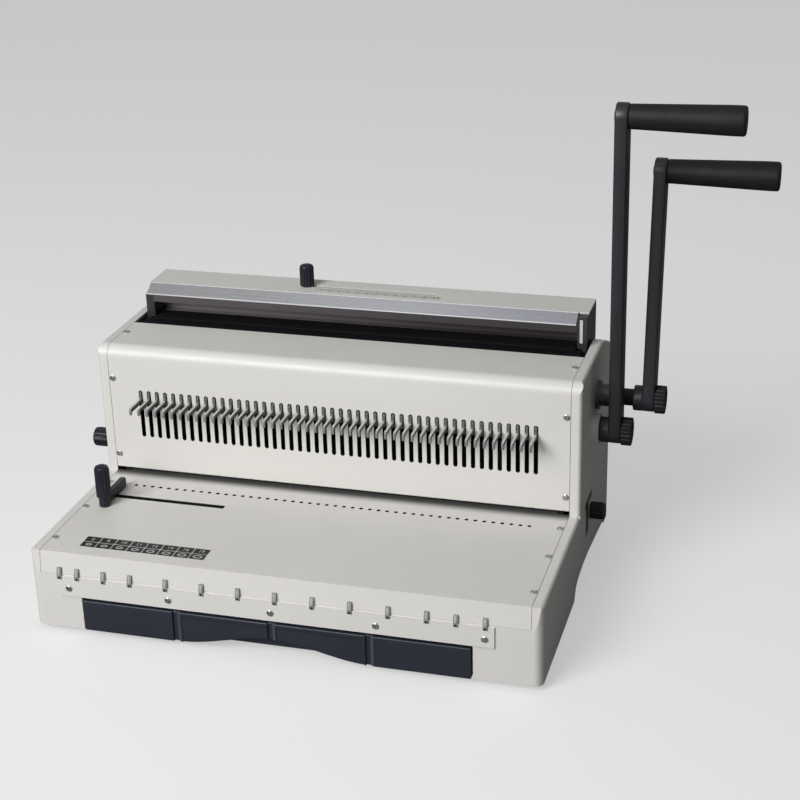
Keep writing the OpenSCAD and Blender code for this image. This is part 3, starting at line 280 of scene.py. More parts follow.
finishSet = {
    "creamPaint": creamBase,
    # deck: painted shade, near-black on its underside and cut edges, and a painted shadow darkening it towards the
    # throat under the tower
    "deckPaint": {**creamBase,
        "paintedLightShade": {"colour": (0.012, 0.012, 0.012), "where": [((2, "LESS_THAN", 0.0819),
            (1, "GREATER_THAN", -0.1564))]},
        "paintedShade": {"colour": (0.10, 0.099, 0.096), "axis": 1, "span": (-0.0045, 0.0110)}},
    # tower: painted shade, the slot walls and inner faces behind the front are near-black
    "towerPaint": {**creamBase,
        "paintedLightShade": {"colour": (0.012, 0.012, 0.012), "where": [((1, "GREATER_THAN", 0.0098),
            (2, "LESS_THAN", 0.2025))]}},
    # rear panel: painted shade, its inner face is near-black where it shows through the slots
    "rearPaint": {**creamBase,
        "paintedLightShade": {"colour": (0.012, 0.012, 0.012), "where": [((1, "GREATER_THAN", 0.1650), (1, "LESS_THAN", 0.1664),
            (2, "LESS_THAN", 0.150))]}},
    # end plates: a painted highlight, a bright bar down the right cap's front edge
    "endPlate": {"tones": ((0.030, 0.031, 0.036), (0.024, 0.025, 0.029)), "rubAndSheen": (0.13, 0.13, 0.14), "edge": 0.55,
        **paintBase,
        "paintedLightShade": {"colour": (0.62, 0.63, 0.66), "where": [((1, "LESS_THAN", 0.1026), (0, "GREATER_THAN", 0.1522),
            (0, "LESS_THAN", 0.1550), (2, "GREATER_THAN", 0.2175))]}},
    # fixed jaw: plum paint with a painted shade darkening it towards the right
    "jawPaint": {"tones": ((0.085, 0.074, 0.082), (0.070, 0.061, 0.068)), "rubAndSheen": (0.10, 0.10, 0.11), "edge": 0.4,
        **paintBase,
        "paintedShade": {"colour": (0.032, 0.026, 0.030), "axis": 0, "span": (-0.28, 0.12)}},
    # mouth liner: painted light, a lighter plum than the jaw's stands in for light on the shaded liner; a painted shade
    # darkens it to the right and paints the low front near-black
    "mouthPaintedLight": {"tones": ((0.34, 0.30, 0.33), (0.29, 0.255, 0.28)), "rubAndSheen": (0.30, 0.27, 0.29), "edge": 0.3,
        "shine": 0.1, **paintBase, "rough": (0.55, 0.7),
        "paintedShade": {"colour": (0.09, 0.075, 0.085), "axis": 0, "span": (-0.28, 0.12)},
        "paintedLightShade": {"colour": (0.006, 0.006, 0.008), "where": [((2, "LESS_THAN", 0.2170), (1, "LESS_THAN", 0.1180))]}},
    # painted shade: a near-black that stands in for the shade on the inner parts behind the mouth and the slots
    "shadeBlack": {"tones": ((0.009, 0.009, 0.010), (0.006, 0.006, 0.007)), "rubAndSheen": (0.03, 0.03, 0.03), "edge": 0.3,
        "shine": 0.12, **paintBase, "rough": (0.55, 0.7)},
    "darkPaint": {"tones": ((0.022, 0.023, 0.028), (0.017, 0.018, 0.022)), "rubAndSheen": (0.10, 0.10, 0.11), "edge": 0.5,
        **paintBase},
    "charcoalPlastic": {"tones": ((0.011, 0.011, 0.013), (0.008, 0.009, 0.011)), "rubAndSheen": (0.05, 0.05, 0.06), "edge": 0.4,
        "shine": 0.28, "rough": (0.50, 0.62), "fine": 1900.0, "broad": 20.0, "bump": 0.16, "metal": 0.0},
    "slatePlastic": slateBase,
    # drawer front: a painted highlight, a lighter strip on the sloped right side of each groove
    "drawerPlastic": {**slateBase,
        "paintedLightShade": {"colour": (0.060, 0.066, 0.080), "where": [((0, "GREATER_THAN", x - 0.0030), (0, "LESS_THAN", x),
            (1, "LESS_THAN", -0.1620)) for x in (-0.1574, -0.0674, 0.0226)]}},
    "knobPlastic": {"tones": ((0.014, 0.016, 0.024), (0.010, 0.012, 0.019)), "rubAndSheen": (0.06, 0.06, 0.07), "edge": 0.4,
        "shine": 0.32, "rough": (0.34, 0.46), "fine": 1700.0, "broad": 30.0, "bump": 0.12, "metal": 0.0},
    "softRubber": {"tones": ((0.018, 0.018, 0.018), (0.026, 0.026, 0.026)), "rubAndSheen": (0.05, 0.05, 0.05), "edge": 0.3,
        "rough": (0.7, 0.85), "fine": 1500.0, "broad": 40.0, "bump": 0.3, "metal": 0.0},
    "clipGrey": {"tones": ((0.30, 0.30, 0.29), (0.20, 0.20, 0.195)), "rubAndSheen": (0.42, 0.42, 0.41), "edge": 0.5,
        "rough": (0.4, 0.5), "fine": 1500.0, "broad": 160.0, "bump": 0.1, "metal": 0.0},
    "clipPale": {"tones": ((0.50, 0.50, 0.49), (0.40, 0.40, 0.39)), "rubAndSheen": (0.3, 0.3, 0.3), "edge": 0.3,
        "rough": (0.4, 0.5), "fine": 1500.0, "broad": 160.0, "bump": 0.1, "metal": 0.0},
    "labelBlack": {"tones": ((0.016, 0.016, 0.017), (0.022, 0.022, 0.023)), "rubAndSheen": (0.09, 0.09, 0.09), "edge": 0.4,
        "shine": 0.25, "rough": (0.35, 0.45), "fine": 2200.0, "broad": 50.0, "bump": 0.05, "metal": 0.0},
    "labelPale": {"tones": ((0.62, 0.61, 0.58), (0.56, 0.55, 0.52)), "rubAndSheen": (0.4, 0.4, 0.38), "edge": 0.2,
        **printBase, "bump": 0.05},
    "printBlack": {"tones": ((0.02, 0.02, 0.02), (0.03, 0.03, 0.03)), "rubAndSheen": (0.1, 0.1, 0.1), "edge": 0.1, **printBase},
    "markRed": {"tones": ((0.42, 0.03, 0.025), (0.36, 0.025, 0.02)), "rubAndSheen": (0.5, 0.2, 0.2), "edge": 0.1, **printBase},
    "bareSteel": {"tones": ((0.50, 0.50, 0.505), (0.42, 0.42, 0.425)), "rubAndSheen": (0.62, 0.62, 0.63), "edge": 0.5,
        "rough": (0.26, 0.40), "brush": (40.0, 1100.0, 1100.0), "bump": 0.06, "metal": 1.0},
    # hooks: a painted highlight on the arms' top faces, and a painted shade darkening them deeper in the slots
    "hookSteel": {"tones": ((0.25, 0.25, 0.247), (0.20, 0.20, 0.198)), "rubAndSheen": (0.44, 0.44, 0.44), "edge": 0.7,
        "rough": (0.42, 0.55), "brush": (700.0, 60.0, 700.0), "bump": 0.06, "metal": 0.25,
        "paintedLightShade": {"colour": (0.60, 0.60, 0.59), "where": [((1, "LESS_THAN", 0.0060), (2, "GREATER_THAN", 0.1623))]},
        "paintedShade": {"colour": (0.11, 0.11, 0.11), "axis": 1, "span": (0.0030, 0.0085)}},
    "blackSteel": {"tones": ((0.030, 0.029, 0.028), (0.020, 0.020, 0.019)), "rubAndSheen": (0.09, 0.09, 0.09), "edge": 0.5,
        "rough": (0.45, 0.60), "brush": (60.0, 700.0, 700.0), "bump": 0.08, "metal": 0.6},
    "dullSteel": {"tones": ((0.16, 0.15, 0.145), (0.11, 0.105, 0.10)), "rubAndSheen": (0.35, 0.34, 0.33), "edge": 0.6,
        "rough": (0.40, 0.55), "brush": (60.0, 700.0, 700.0), "bump": 0.08, "metal": 1.0},
    "dieSteel": {"tones": ((0.13, 0.13, 0.128), (0.10, 0.10, 0.10)), "rubAndSheen": (0.3, 0.3, 0.3), "edge": 0.5,
        "rough": (0.45, 0.60), "brush": (60.0, 700.0, 700.0), "bump": 0.08, "metal": 0.2},
    "screwSteel": {"tones": ((0.55, 0.55, 0.55), (0.46, 0.46, 0.46)), "rubAndSheen": (0.7, 0.7, 0.7), "edge": 0.5,
        "rough": (0.22, 0.34), "brush": (900.0, 900.0, 900.0), "bump": 0.03, "metal": 1.0},
    # polished strip: painted highlights along its rear top and lower edge, and a painted shade darkening it towards the
    # right in place of its reflection
    "polishedSteel": {"tones": ((0.74, 0.755, 0.775), (0.70, 0.715, 0.735)), "rubAndSheen": (0.85, 0.85, 0.86), "edge": 0.6,
        "rough": (0.20, 0.30), "brush": (8.0, 900.0, 900.0), "bump": 0.012, "metal": 1.0,
        "paintedLightShade": {"colour": (0.80, 0.80, 0.82), "metal": 0.2,
            "where": [((1, "GREATER_THAN", 0.1149),), ((2, "LESS_THAN", 0.2357),)]},
        "paintedShade": {"colour": (0.50, 0.51, 0.56), "axis": 0, "span": (-0.25, 0.16)}},
    "bushBrass": {"tones": ((0.52, 0.37, 0.16), (0.44, 0.31, 0.14)), "rubAndSheen": (0.7, 0.55, 0.3), "edge": 0.4,
        "rough": (0.3, 0.42), "brush": (900.0, 200.0, 200.0), "bump": 0.05, "metal": 1.0},
}


def makeFinish(name, s):
    mat = bpy.data.materials.new(name)
    mat.use_nodes = True
    tree = mat.node_tree
    shader = tree.nodes["Principled BSDF"]
    spot = addNode(tree, "ShaderNodeTexCoord").outputs["Object"]
    if "brush" in s:
        skin = groupNode(tree, brushLines, spot, Stretch=s["brush"])
        toneShare, lineShare = nodeSet["brushMix"]
        shift = mathNode(tree, "ADD", mathNode(tree, "MULTIPLY", skin.outputs["Tone"], toneShare),
            mathNode(tree, "MULTIPLY", skin.outputs["Height"], lineShare))
        gloss = skin.outputs["Height"]
    else:
        skin = groupNode(tree, skinGrain, spot, Fine=s["fine"], Broad=s["broad"])
        shift, gloss = skin.outputs["Tone"], skin.outputs["Smudge"]
    rubAndSheen = groupNode(tree, edgeWearAndSheen, spot, Amount=s["edge"])
    colour = mixColour(tree, rangeNode(tree, shift, 0.0, 1.0), *s["tones"])
    # worn edges and painted edge highlights: the edge mask mixes in the edges' own colour
    colour = mixColour(tree, rubAndSheen.outputs["Mask"], colour, s["rubAndSheen"])
    apart = addNode(tree, "ShaderNodeSeparateXYZ")
    tree.links.new(spot, apart.inputs[0])
    if "paintedShade" in s:
        # painted shade: the colour darkens slowly along one axis
        shadeFade = addNode(tree, "ShaderNodeMapRange", interpolation_type="SMOOTHSTEP")
        tree.links.new(apart.outputs[s["paintedShade"]["axis"]], shadeFade.inputs["Value"])
        shadeFade.inputs["From Min"].default_value, shadeFade.inputs["From Max"].default_value = s["paintedShade"]["span"]
        colour = mixColour(tree, shadeFade.outputs["Result"], colour, s["paintedShade"]["colour"])
    if "paintedLightShade" in s:
        # painted light: cut edges and inner faces take painted shade, and some edges a painted highlight, told by their
        # place
        paintedMask = 0.0
        for place in s["paintedLightShade"]["where"]:
            inside = 1.0
            for axis, how, limit in place:
                inside = mathNode(tree, "MULTIPLY", inside, mathNode(tree, how, apart.outputs[axis], limit))
            paintedMask = mathNode(tree, "MAXIMUM", paintedMask, inside)
        colour = mixColour(tree, paintedMask, colour, s["paintedLightShade"]["colour"])
        if "metal" in s["paintedLightShade"]:
            sheen = mathNode(tree, "MULTIPLY_ADD", paintedMask, s["paintedLightShade"]["metal"] - s["metal"], s["metal"])
            tree.links.new(sheen, shader.inputs["Metallic"])
    tree.links.new(colour, shader.inputs["Base Color"])
    tree.links.new(rangeNode(tree, gloss, *s["rough"]), shader.inputs["Roughness"])
    shader.inputs["Metallic"].default_value = s["metal"]
    shader.inputs["Specular IOR Level"].default_value = s.get("shine", nodeSet["shine"])
    bump = addNode(tree, "ShaderNodeBump")
    bump.inputs["Strength"].default_value = s["bump"]
    bump.inputs["Distance"].default_value = nodeSet["bumpDepth"]
    tree.links.new(skin.outputs["Height"], bump.inputs["Height"])
    tree.links.new(bump.outputs["Normal"], shader.inputs["Normal"])
    mat.diffuse_color = (*s["tones"][0], 1)
    return mat


finishes = {name: makeFinish(name, s) for name, s in finishSet.items()}
print("finishes ready:", len(finishes))

# which finish each kept CAD node takes
cadFinish = {
    "creamPaint": ["base_pan", "front_panel", "left_side_panel", "right_side_panel", "front_strip", "closer_cover",
        "punch_bearing"],
    "rearPaint": ["rear_panel"],
    "deckPaint": ["deck_panel"],
    "towerPaint": ["tower_panel"],
    "softRubber": ["rubber_feet"],
    "bareSteel": ["drawer_runners", "depth_shaft", "size_slider"],
    "blackSteel": ["left_frame", "right_frame", "back_stop", "punch_shaft", "closing_shaft", "tie_rods"],
    "dullSteel": ["die_carrier", "closing_bearing"],
    "bushBrass": ["shaft_bushes"],
    "polishedSteel": ["polished_strip"],
    "endPlate": ["left_end_plate", "right_end_plate"],
    "jawPaint": ["fixed_jaw"],
    "mouthPaintedLight": ["mouth_liner"],
    "shadeBlack": ["press_bar", "guide_plate", "punch_ram", "punch_pins"],
    "dieSteel": ["die_plate"],
    "slatePlastic": ["chip_tray"],
}


def dressCad():
    for finish, names in cadFinish.items():
        for name in names:
            obj = nodes[name]
            obj.data.materials.clear()
            obj.data.materials.append(finishes[finish])


dressCad()
print("CAD nodes dressed")

# geometry helpers

mm = 0.001
midX, midY = 65.0, 164.4  # the casing's middle and front face stand this far off the frame's origin, in mm
mostOfSide, tiny = 0.48, 1e-9  # a rounded corner takes less than half of each side


def softPath(points, radius, steps=5, closed=False):
    # every corner becomes a short curve: (1-s)^2 start + 2s(1-s) corner + s^2 end
    p = np.asarray(points, float)
    prev, nxt = np.roll(p, 1, 0), np.roll(p, -1, 0)
    r = np.broadcast_to(np.asarray(radius, float), (len(p),))[:, None]
    a, b = prev - p, nxt - p
    la, lb = np.linalg.norm(a, axis=1, keepdims=True), np.linalg.norm(b, axis=1, keepdims=True)
    start = p + a * np.minimum(r / np.maximum(la, tiny), mostOfSide)
    end = p + b * np.minimum(r / np.maximum(lb, tiny), mostOfSide)
    s = np.linspace(0, 1, steps)[None, :, None]
    curve = (1 - s) ** 2 * start[:, None] + 2 * s * (1 - s) * p[:, None] + s ** 2 * end[:, None]
    if closed:
        return curve.reshape(-1, p.shape[1])
    return np.concatenate([p[:1], curve[1:-1].reshape(-1, p.shape[1]), p[-1:]])


def gridPart(points, wrapU=False, wrapV=True, caps=True):
    # a grid of points becomes four-sided faces, with the two end rings closed by one face each
    nu, nv = points.shape[:2]
    a, b = np.meshgrid(np.arange(nu if wrapU else nu - 1), np.arange(nv if wrapV else nv - 1), indexing="ij")
    c, d = (a + 1) % nu, (b + 1) % nv
    faces = np.stack([a * nv + b, c * nv + b, c * nv + d, a * nv + d], -1).reshape(-1, 4).tolist()
    if caps:
        faces += [np.arange(nv)[::-1].tolist(), ((nu - 1) * nv + np.arange(nv)).tolist()]
    return points.reshape(-1, 3), faces


def turned(profile, sides=64, flutes=0, depth=None, sharp=1.0):
    # a profile (distance along the axis, radius) is swept round the axis; flutes take depth * (0.5 - 0.5 cos n v)
    p = np.asarray(profile, float)
    v = np.linspace(0, 2 * np.pi, sides, endpoint=False)
    r = p[:, 1][:, None] * np.ones_like(v)[None]
    if flutes:
        cut = (0.5 - 0.5 * np.cos(flutes * v)) ** sharp
        r = r - np.asarray(depth, float)[:, None] * cut[None]
    pts = np.stack([r * np.cos(v), r * np.sin(v), np.broadcast_to(p[:, 0][:, None], r.shape)], -1)
    return gridPart(pts)


def slab(outline, low, high, edge, steps=4):
    # an outline is stacked through its thickness, drawn in at both faces by a quarter round
    p = np.asarray(outline, float)
    area = np.sum(p[:, 0] * np.roll(p[:, 1], -1) - np.roll(p[:, 0], -1) * p[:, 1])
    along = np.roll(p, -1, 0) - np.roll(p, 1, 0)
    along /= np.maximum(np.linalg.norm(along, axis=1, keepdims=True), tiny)
    outward = np.stack([along[:, 1], -along[:, 0]], -1) * np.sign(area)
    turn = np.linspace(0, np.pi / 2, steps)
    inset = np.concatenate([edge * (1 - np.sin(turn)), edge * (1 - np.sin(turn[::-1]))])
    level = np.concatenate([low + edge * (1 - np.cos(turn)), high - edge * (1 - np.cos(turn[::-1]))])
    flat = p[None] - outward[None] * inset[:, None, None]
    pts = np.concatenate([flat, np.broadcast_to(level[:, None, None], (*flat.shape[:2], 1))], -1)
    return gridPart(pts)


def setDown(part, origin, ex, ey, ez):
    # local x, y and z are carried to three directions of the frame, from an origin in mm, and turned to metres
    pts, faces = part
    basis = np.array([ex, ey, ez], float)
    return (np.asarray(origin, float) - (midX, midY, 0) + pts @ basis) * mm, faces


def addPiece(name, parts, finish, body, replaced=(), sharpAngle=38):
    # several closed parts become one mesh; parts may name their own finish as a third entry
    verts, faces, mats, order = [], [], [], []
    start = 0
    for part in parts:
        own = part[2] if len(part) > 2 else finish
        if own not in order:
            order.append(own)
        verts.append(part[0])
        faces += [[i + start for i in f] for f in part[1]]
        mats += [order.index(own)] * len(part[1])
        start += len(part[0])
    mesh = bpy.data.meshes.new(name)
    mesh.from_pydata(np.concatenate(verts).tolist(), [], faces)
    mesh.polygons.foreach_set("material_index", mats)
    work = bmesh.new()
    work.from_mesh(mesh)
    bmesh.ops.recalc_face_normals(work, faces=work.faces)
    work.to_mesh(mesh)
    work.free()
    mesh.polygons.foreach_set("use_smooth", np.ones(len(mesh.polygons), bool))
    mesh.set_sharp_from_angle(angle=math.radians(sharpAngle))
    for own in order:
        mesh.materials.append(finishes[own])
    obj = bpy.data.objects.new(name, mesh)
    bpy.context.scene.collection.objects.link(obj)
    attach(obj, body)
    if replaced:
        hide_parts(*replaced)


xAxis, yAxis, zAxis = (1, 0, 0), (0, 1, 0), (0, 0, 1)
alongX = (yAxis, zAxis, xAxis)  # local z lies along the frame's x
alongZ = (xAxis, yAxis, zAxis)
towardFront = (xAxis, zAxis, (0, -1, 0))  # local z points out of the front
towardLeft = (yAxis, zAxis, (-1, 0, 0))


def inPlace(part):
    # a part already drawn in the machine's own millimetres
    return setDown(part, (0, 0, 0), *alongZ)


def boxInMm(name):
    # a node's low corner, middle and high corner, in the machine's own millimetres
    low, high = (np.array(corner) / mm + (midX, midY, 0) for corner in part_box(name))
    return low, (low + high) / 2, high


def pinPart(low, high, radius, soft, sides, tip=0.3):
    # a plain round pin along its own axis, with softened rims; its end faces start at the tip's radius
    return turned(softPath([(low, tip), (low, radius), (high, radius), (high, tip)], soft), sides)


# levers: a flat arm on a hub, a ribbed knob on the shaft's end and a grip; knob, grip and bolt are profiles of distance
# from the arm's face and radius

leverSet = {
    "punch": {"y": 234.0, "z": 146.0, "lean": 1.7, "length": 301.0, "hubX": 244.4, "armX": (252.9, 264.4)},
    "closing": {"y": 257.3, "z": 171.0, "lean": -7.7, "length": 214.0, "hubX": 271.7, "armX": (280.2, 291.7)},
    "armHalf": 12.0, "armEdge": 1.6, "hubRadius": 12.0, "hubInner": 7.5, "hubRound": 1.0, "hubInArm": 0.6,
    "knob": [(0, 8.5), (0, 13.3), (9.5, 13.3), (9.5, 9.1), (8.2, 8.3), (8.2, 3.6), (9.2, 3.2), (9.2, 0.4)],
    "knobRound": 0.7, "ribs": 18, "ribDepth": 1.1, "ribSharp": 1.6, "ribbedOver": 11.9,
    "grip": [(0, 0.5), (0, 10.1), (0.9, 11.0), (45.0, 12.1), (86.0, 13.2), (98.4, 13.2), (100.0, 11.55), (100.0, 5.2),
        (99.2, 4.6), (99.2, 0.5)],
    "gripRound": (1, 0.6, 0.6, 20, 8, 1.4, 1.4, 0.5, 0.4, 0.4), "gripSides": 72,
    "bolt": [(-1.4, 0.3), (-1.4, 4.6), (0.4, 5.4), (0.4, 0.3)], "boltRound": 0.8, "boltSides": 40,
}


def makeLever(kind, s):
    own = s[kind]
    a = math.radians(own["lean"])
    up, fore = (0, -math.sin(a), math.cos(a)), (0, math.cos(a), math.sin(a))
    origin = np.array((0, own["y"], own["z"]))
    tip = origin + np.multiply(up, own["length"])
    sideways = (fore, up, xAxis)
    near, far = own["armX"]
    ends = np.linspace(0, np.pi, 25)
    h = s["armHalf"]
    top = np.stack([h * np.cos(ends), own["length"] + h * np.sin(ends)], -1)
    low = np.stack([-h * np.cos(ends), -h * np.sin(ends)], -1)
    arm = slab(np.concatenate([top, low]), near, far, s["armEdge"])
    x0, x1, r0, r1 = own["hubX"], near + s["hubInArm"], s["hubInner"], s["hubRadius"]
    hub = turned(softPath([(x0, r0), (x0, r1), (x1, r1), (x1, r0)], s["hubRound"]))
    addPiece(kind + "LeverArm", [setDown(p, origin, *sideways) for p in (arm, hub)], "darkPaint", kind + "_lever",
        [kind + "_arm"])
    rim = softPath(s["knob"], s["knobRound"], 4)
    depth = s["ribDepth"] * (rim[:, 1] > s["ribbedOver"])
    knob = turned(rim + (far, 0), s["ribs"] * 8, s["ribs"], depth, s["ribSharp"])
    addPiece(kind + "EndKnob", [setDown(knob, origin, *sideways)], "charcoalPlastic", kind + "_lever",
        [kind + "_end_knob"])
    grip = turned(softPath(s["grip"], s["gripRound"], 6) + (far, 0), s["gripSides"])
    bolt = turned(softPath(s["bolt"], s["boltRound"]) + (near, 0), s["boltSides"])
    addPiece(kind + "Grip", [setDown(grip, tip, *sideways), (*setDown(bolt, tip, *sideways), "screwSteel")],
        "charcoalPlastic", kind + "_lever", [kind + "_grip"])


for leverKind in ("punch", "closing"):
    makeLever(leverKind, leverSet)
print("levers done")


# small knobs: a fluted barrel with a domed head

knobSet = {
    "size": {"radius": 7.25, "length": 22.0, "flutes": 14, "depth": 1.0, "dome": 2.6},
    "clamp": {"radius": 7.25, "length": 32.0, "flutes": 16, "depth": 0.9, "dome": 3.0},
    "depth": {"radius": 10.0, "length": 22.0, "flutes": 8, "depth": 1.6, "dome": 1.8},
    "side": {"radius": 8.5, "length": 14.0, "flutes": 14, "depth": 1.1, "dome": 1.4},
    "clampStem": (-6.8, 0.4, 2.5), "depthNeck": 6.4, "sidePin": (0.4, 3.0), "pinRound": 0.4, "pinSides": 24,
}
fluteSet = {"tip": 0.4, "neckIn": 2.2, "skinIn": 0.15, "rimIn": 0.9, "rimDrop": 1.0, "crown": 0.45, "soft": 1.0,
    "fadeLow": 1.5, "fadeHigh": 3.0, "deepIn": 1.2, "sharp": 1.8}


def flutedKnob(s, neck=0.0):
    f, rad, n, d = fluteSet, s["radius"], s["length"], s["dome"]
    inner, skin = rad - f["neckIn"], rad - f["skinIn"]
    base = [(0, f["tip"]), (0, inner), (neck, inner)] if neck else [(0, f["tip"])]
    line = softPath(base + [(neck, skin), (n - d - f["rimDrop"], skin), (n - d * f["crown"], rad - f["rimIn"]),
        (n, rad * f["crown"]), (n, f["tip"])], f["soft"], 5)
    low, high = (line[:, 0] - neck) / f["fadeLow"], (n - d / 2 - line[:, 0]) / f["fadeHigh"]
    depth = s["depth"] * np.clip(low, 0, 1) * np.clip(high, 0, 1) * (line[:, 1] > rad - f["deepIn"])
    return turned(line, s["flutes"] * 8, s["flutes"], depth, f["sharp"])


def makeKnobs(s):
    low, mid, high = boxInMm("size_knob")
    top = setDown(flutedKnob(s["size"]), (mid[0], mid[1], low[2]), *alongZ)
    addPiece("sizeKnob", [top], "knobPlastic", "size_adjuster", ["size_knob"])
    low, mid, high = boxInMm("guide_clamp_knob")
    place = (mid[0], mid[1], high[2] - s["clamp"]["length"])
    stem = pinPart(*s["clampStem"], s["pinRound"], s["pinSides"])
    addPiece("clampKnob", [setDown(flutedKnob(s["clamp"]), place, *alongZ),
        (*setDown(stem, place, *alongZ), "bareSteel")], "knobPlastic", "guide_knob",
        ["guide_clamp_knob"])
    low, mid, high = boxInMm("depth_knob")
    barrel = flutedKnob(dict(s["depth"], length=high[0] - low[0]), s["depthNeck"])
    out = setDown(barrel, (high[0], mid[1], mid[2]), *towardLeft)
    addPiece("depthKnob", [out], "knobPlastic", "depth_control", ["depth_knob"])
    low, mid, high = boxInMm("side_clamp_knob")
    place = (high[0] - s["side"]["length"], mid[1], mid[2])
    pin = pinPart(low[0] - place[0], *s["sidePin"], s["pinRound"], s["pinSides"])
    addPiece("sideKnob", [setDown(flutedKnob(s["side"]), place, *alongX), (*setDown(pin, place, *alongX), "bareSteel")],
        "knobPlastic", "side_knob", ["side_clamp_knob"])


makeKnobs(knobSet)
print("knobs done")


# row of hooks: a flat bent finger in each slot, all standing out of one plate behind the tower

hookSet = {
    "count": 47, "pitch": 8.4667, "thick": 2.6, "edge": 0.8, "plate": (176.0, 177.5), "plateZ": (155.2, 178.4),
    "plateHalf": 204.7, "plateRound": 2.0, "plateEdge": 0.2,
    "round": [0.3, 0.8, 1.0, 1.2, 1.6, 1.6, 1.8, 1.8, 0.9, 0.9, 0.8, 0.8, 0.6, 0.6, 0.6],
    "outline": [(177.4, 155.2), (177.4, 169.4), (174.6, 169.4), (172.6, 167.8), (172.4, 164.0), (171.0, 162.8),
        (148.6, 162.8), (147.0, 161.2), (147.0, 155.2), (149.4, 155.2), (150.0, 158.6), (150.8, 159.2), (172.8, 159.2),
        (173.6, 158.2), (173.6, 155.2)],
}


def makeHooks(s):
    line = softPath(s["outline"], s["round"], 4, True)
    finger = slab(line, -s["thick"] / 2, s["thick"] / 2, s["edge"], 3)
    spots = (np.arange(s["count"]) - (s["count"] - 1) / 2) * s["pitch"]
    fingers = [setDown(finger, (x, 0, 0), *alongX) for x in spots]
    w, (z0, z1) = s["plateHalf"], s["plateZ"]
    sheet = softPath([(-w, z0), (w, z0), (w, z1), (-w, z1)], s["plateRound"], 5, True)
    plate = setDown(slab(sheet, *s["plate"], s["plateEdge"], 2), (0, 0, 0), xAxis, zAxis, yAxis)
    addPiece("hookRow", [*fingers, (*plate, "blackSteel")], "hookSteel", "frame", ["hook_plate"])


makeHooks(hookSet)
print("hooks done")


# cross-slotted pan-head screws: a dome less a cross cut, as a height over radius and angle

screwSet = {
    "radius": 3.0, "height": 1.6, "slotHalf": 0.42, "slotReach": 1.75, "slotDepth": 1.1, "rings": 15,
    "sides": 48, "domeWide": 0.9, "slotSlope": 0.15, "slotFade": 0.3, "firstTurn": 0.4, "nextTurn": 1.9,
    "shank": {"radius": 1.5, "top": 0.2, "soft": 0.3, "sides": 20},
    "strip": {"x": [-199.0, -102.6, -6.2, 90.2, 186.6], "y": -1.6, "z": 47.9, "long": 3.6},
    "deck": {"x": [-222.9, 222.9], "y": [27.0, 92.0, 147.0], "z": 82.0, "long": 5.0},
    "tower": {"x": [-222.7, 222.7], "y": 174.0, "z": [101.3, 181.4], "long": 4.0},
    "shoulder": {"y": 213.0, "z": 214.0, "long": 2.0},
}


def screwHead(s):
    rad, h = s["radius"], s["height"]
    share = np.linspace(1, 0.02, s["rings"])[:, None]
    v = np.linspace(0, 2 * np.pi, s["sides"], endpoint=False)[None]
    r = rad * share * np.ones_like(v)
    x, y = r * np.cos(v), r * np.sin(v)
    dome = h * np.sqrt(np.clip(1 - (s["domeWide"] * share) ** 4, 0, 1)) * np.ones_like(v)
    across = np.clip((s["slotHalf"] - np.minimum(abs(x), abs(y))) / s["slotSlope"], 0, 1)
    cut = across * np.clip((s["slotReach"] - r) / s["slotFade"], 0, 1)
    z = dome - s["slotDepth"] * cut
    skirt = np.stack([x[:1], y[:1], np.zeros_like(x[:1])], -1)
    return gridPart(np.concatenate([skirt, np.stack([x, y, z], -1)]))


def makeScrews(s):
    head = screwHead(s)

    def turnedHead(angle):
        c, n = math.cos(angle), math.sin(angle)
        return head[0] @ np.array([(c, n, 0), (-n, c, 0), (0, 0, 1)]), head[1]

    def row(places, basis, length):
        shank = pinPart(-length, *(s["shank"][k] for k in ("top", "radius", "soft", "sides")))
        parts = []
        for i, p in enumerate(places):
            parts.append(setDown(turnedHead(s["firstTurn"] + s["nextTurn"] * i), p, *basis))
            parts.append(setDown(shank, p, *basis))
        return parts

    strip, deck, tower, roof = s["strip"], s["deck"], s["tower"], s["shoulder"]
    addPiece("stripScrews", row([(x, strip["y"], strip["z"]) for x in strip["x"]], towardFront, strip["long"]),
        "screwSteel", "frame", ["strip_screws"])
    addPiece("deckScrews", row([(x, y, deck["z"]) for x in deck["x"] for y in deck["y"]], alongZ, deck["long"]),
        "screwSteel", "frame", ["deck_screws"])
    onFace = row([(x, tower["y"], z) for x in tower["x"] for z in tower["z"]], towardFront, tower["long"])
    onRoof = row([(x, roof["y"], roof["z"]) for x in tower["x"]], alongZ, roof["long"])
    addPiece("towerScrews", onFace + onRoof, "screwSteel", "frame", ["tower_screws"])


makeScrews(screwSet)
print("screws done")


# clips hooked over the front strip: a bent tab with a pale bead down its middle and a dark pin at its foot

clipSet = {
    "steps": [0, 2, 5, 8, 12, 16, 20, 24, 28, 32, 36, 40, 43, 46], "step": 8.58, "middle": -10.2,
    "middleStep": 23, "half": 2.1, "edge": 0.3, "round": [0.5, 0.1, 0.1, 0.1, 0.1, 0.1, 0.6, 0.6],
    "outline": [(-2.6, 56.5), (-1.6, 56.5), (-1.6, 59.5), (0.0, 59.5), (0.0, 61.0), (0.774, 67.5), (-1.0, 67.5),
        (-2.6, 60.5)],
    "bead": [(-2.2, 60.6), (-0.8, 66.6), (-1.25, 66.6), (-3.0, 60.4)], "beadHalf": 0.75, "beadRound": 0.4,
    "beadEdge": 0.25, "pin": (2.3, 2.95), "pinRadius": 1.15, "pinRound": 0.35, "pinSides": 24, "pinTip": 0.2,
    "pinZ": 58.1,
}


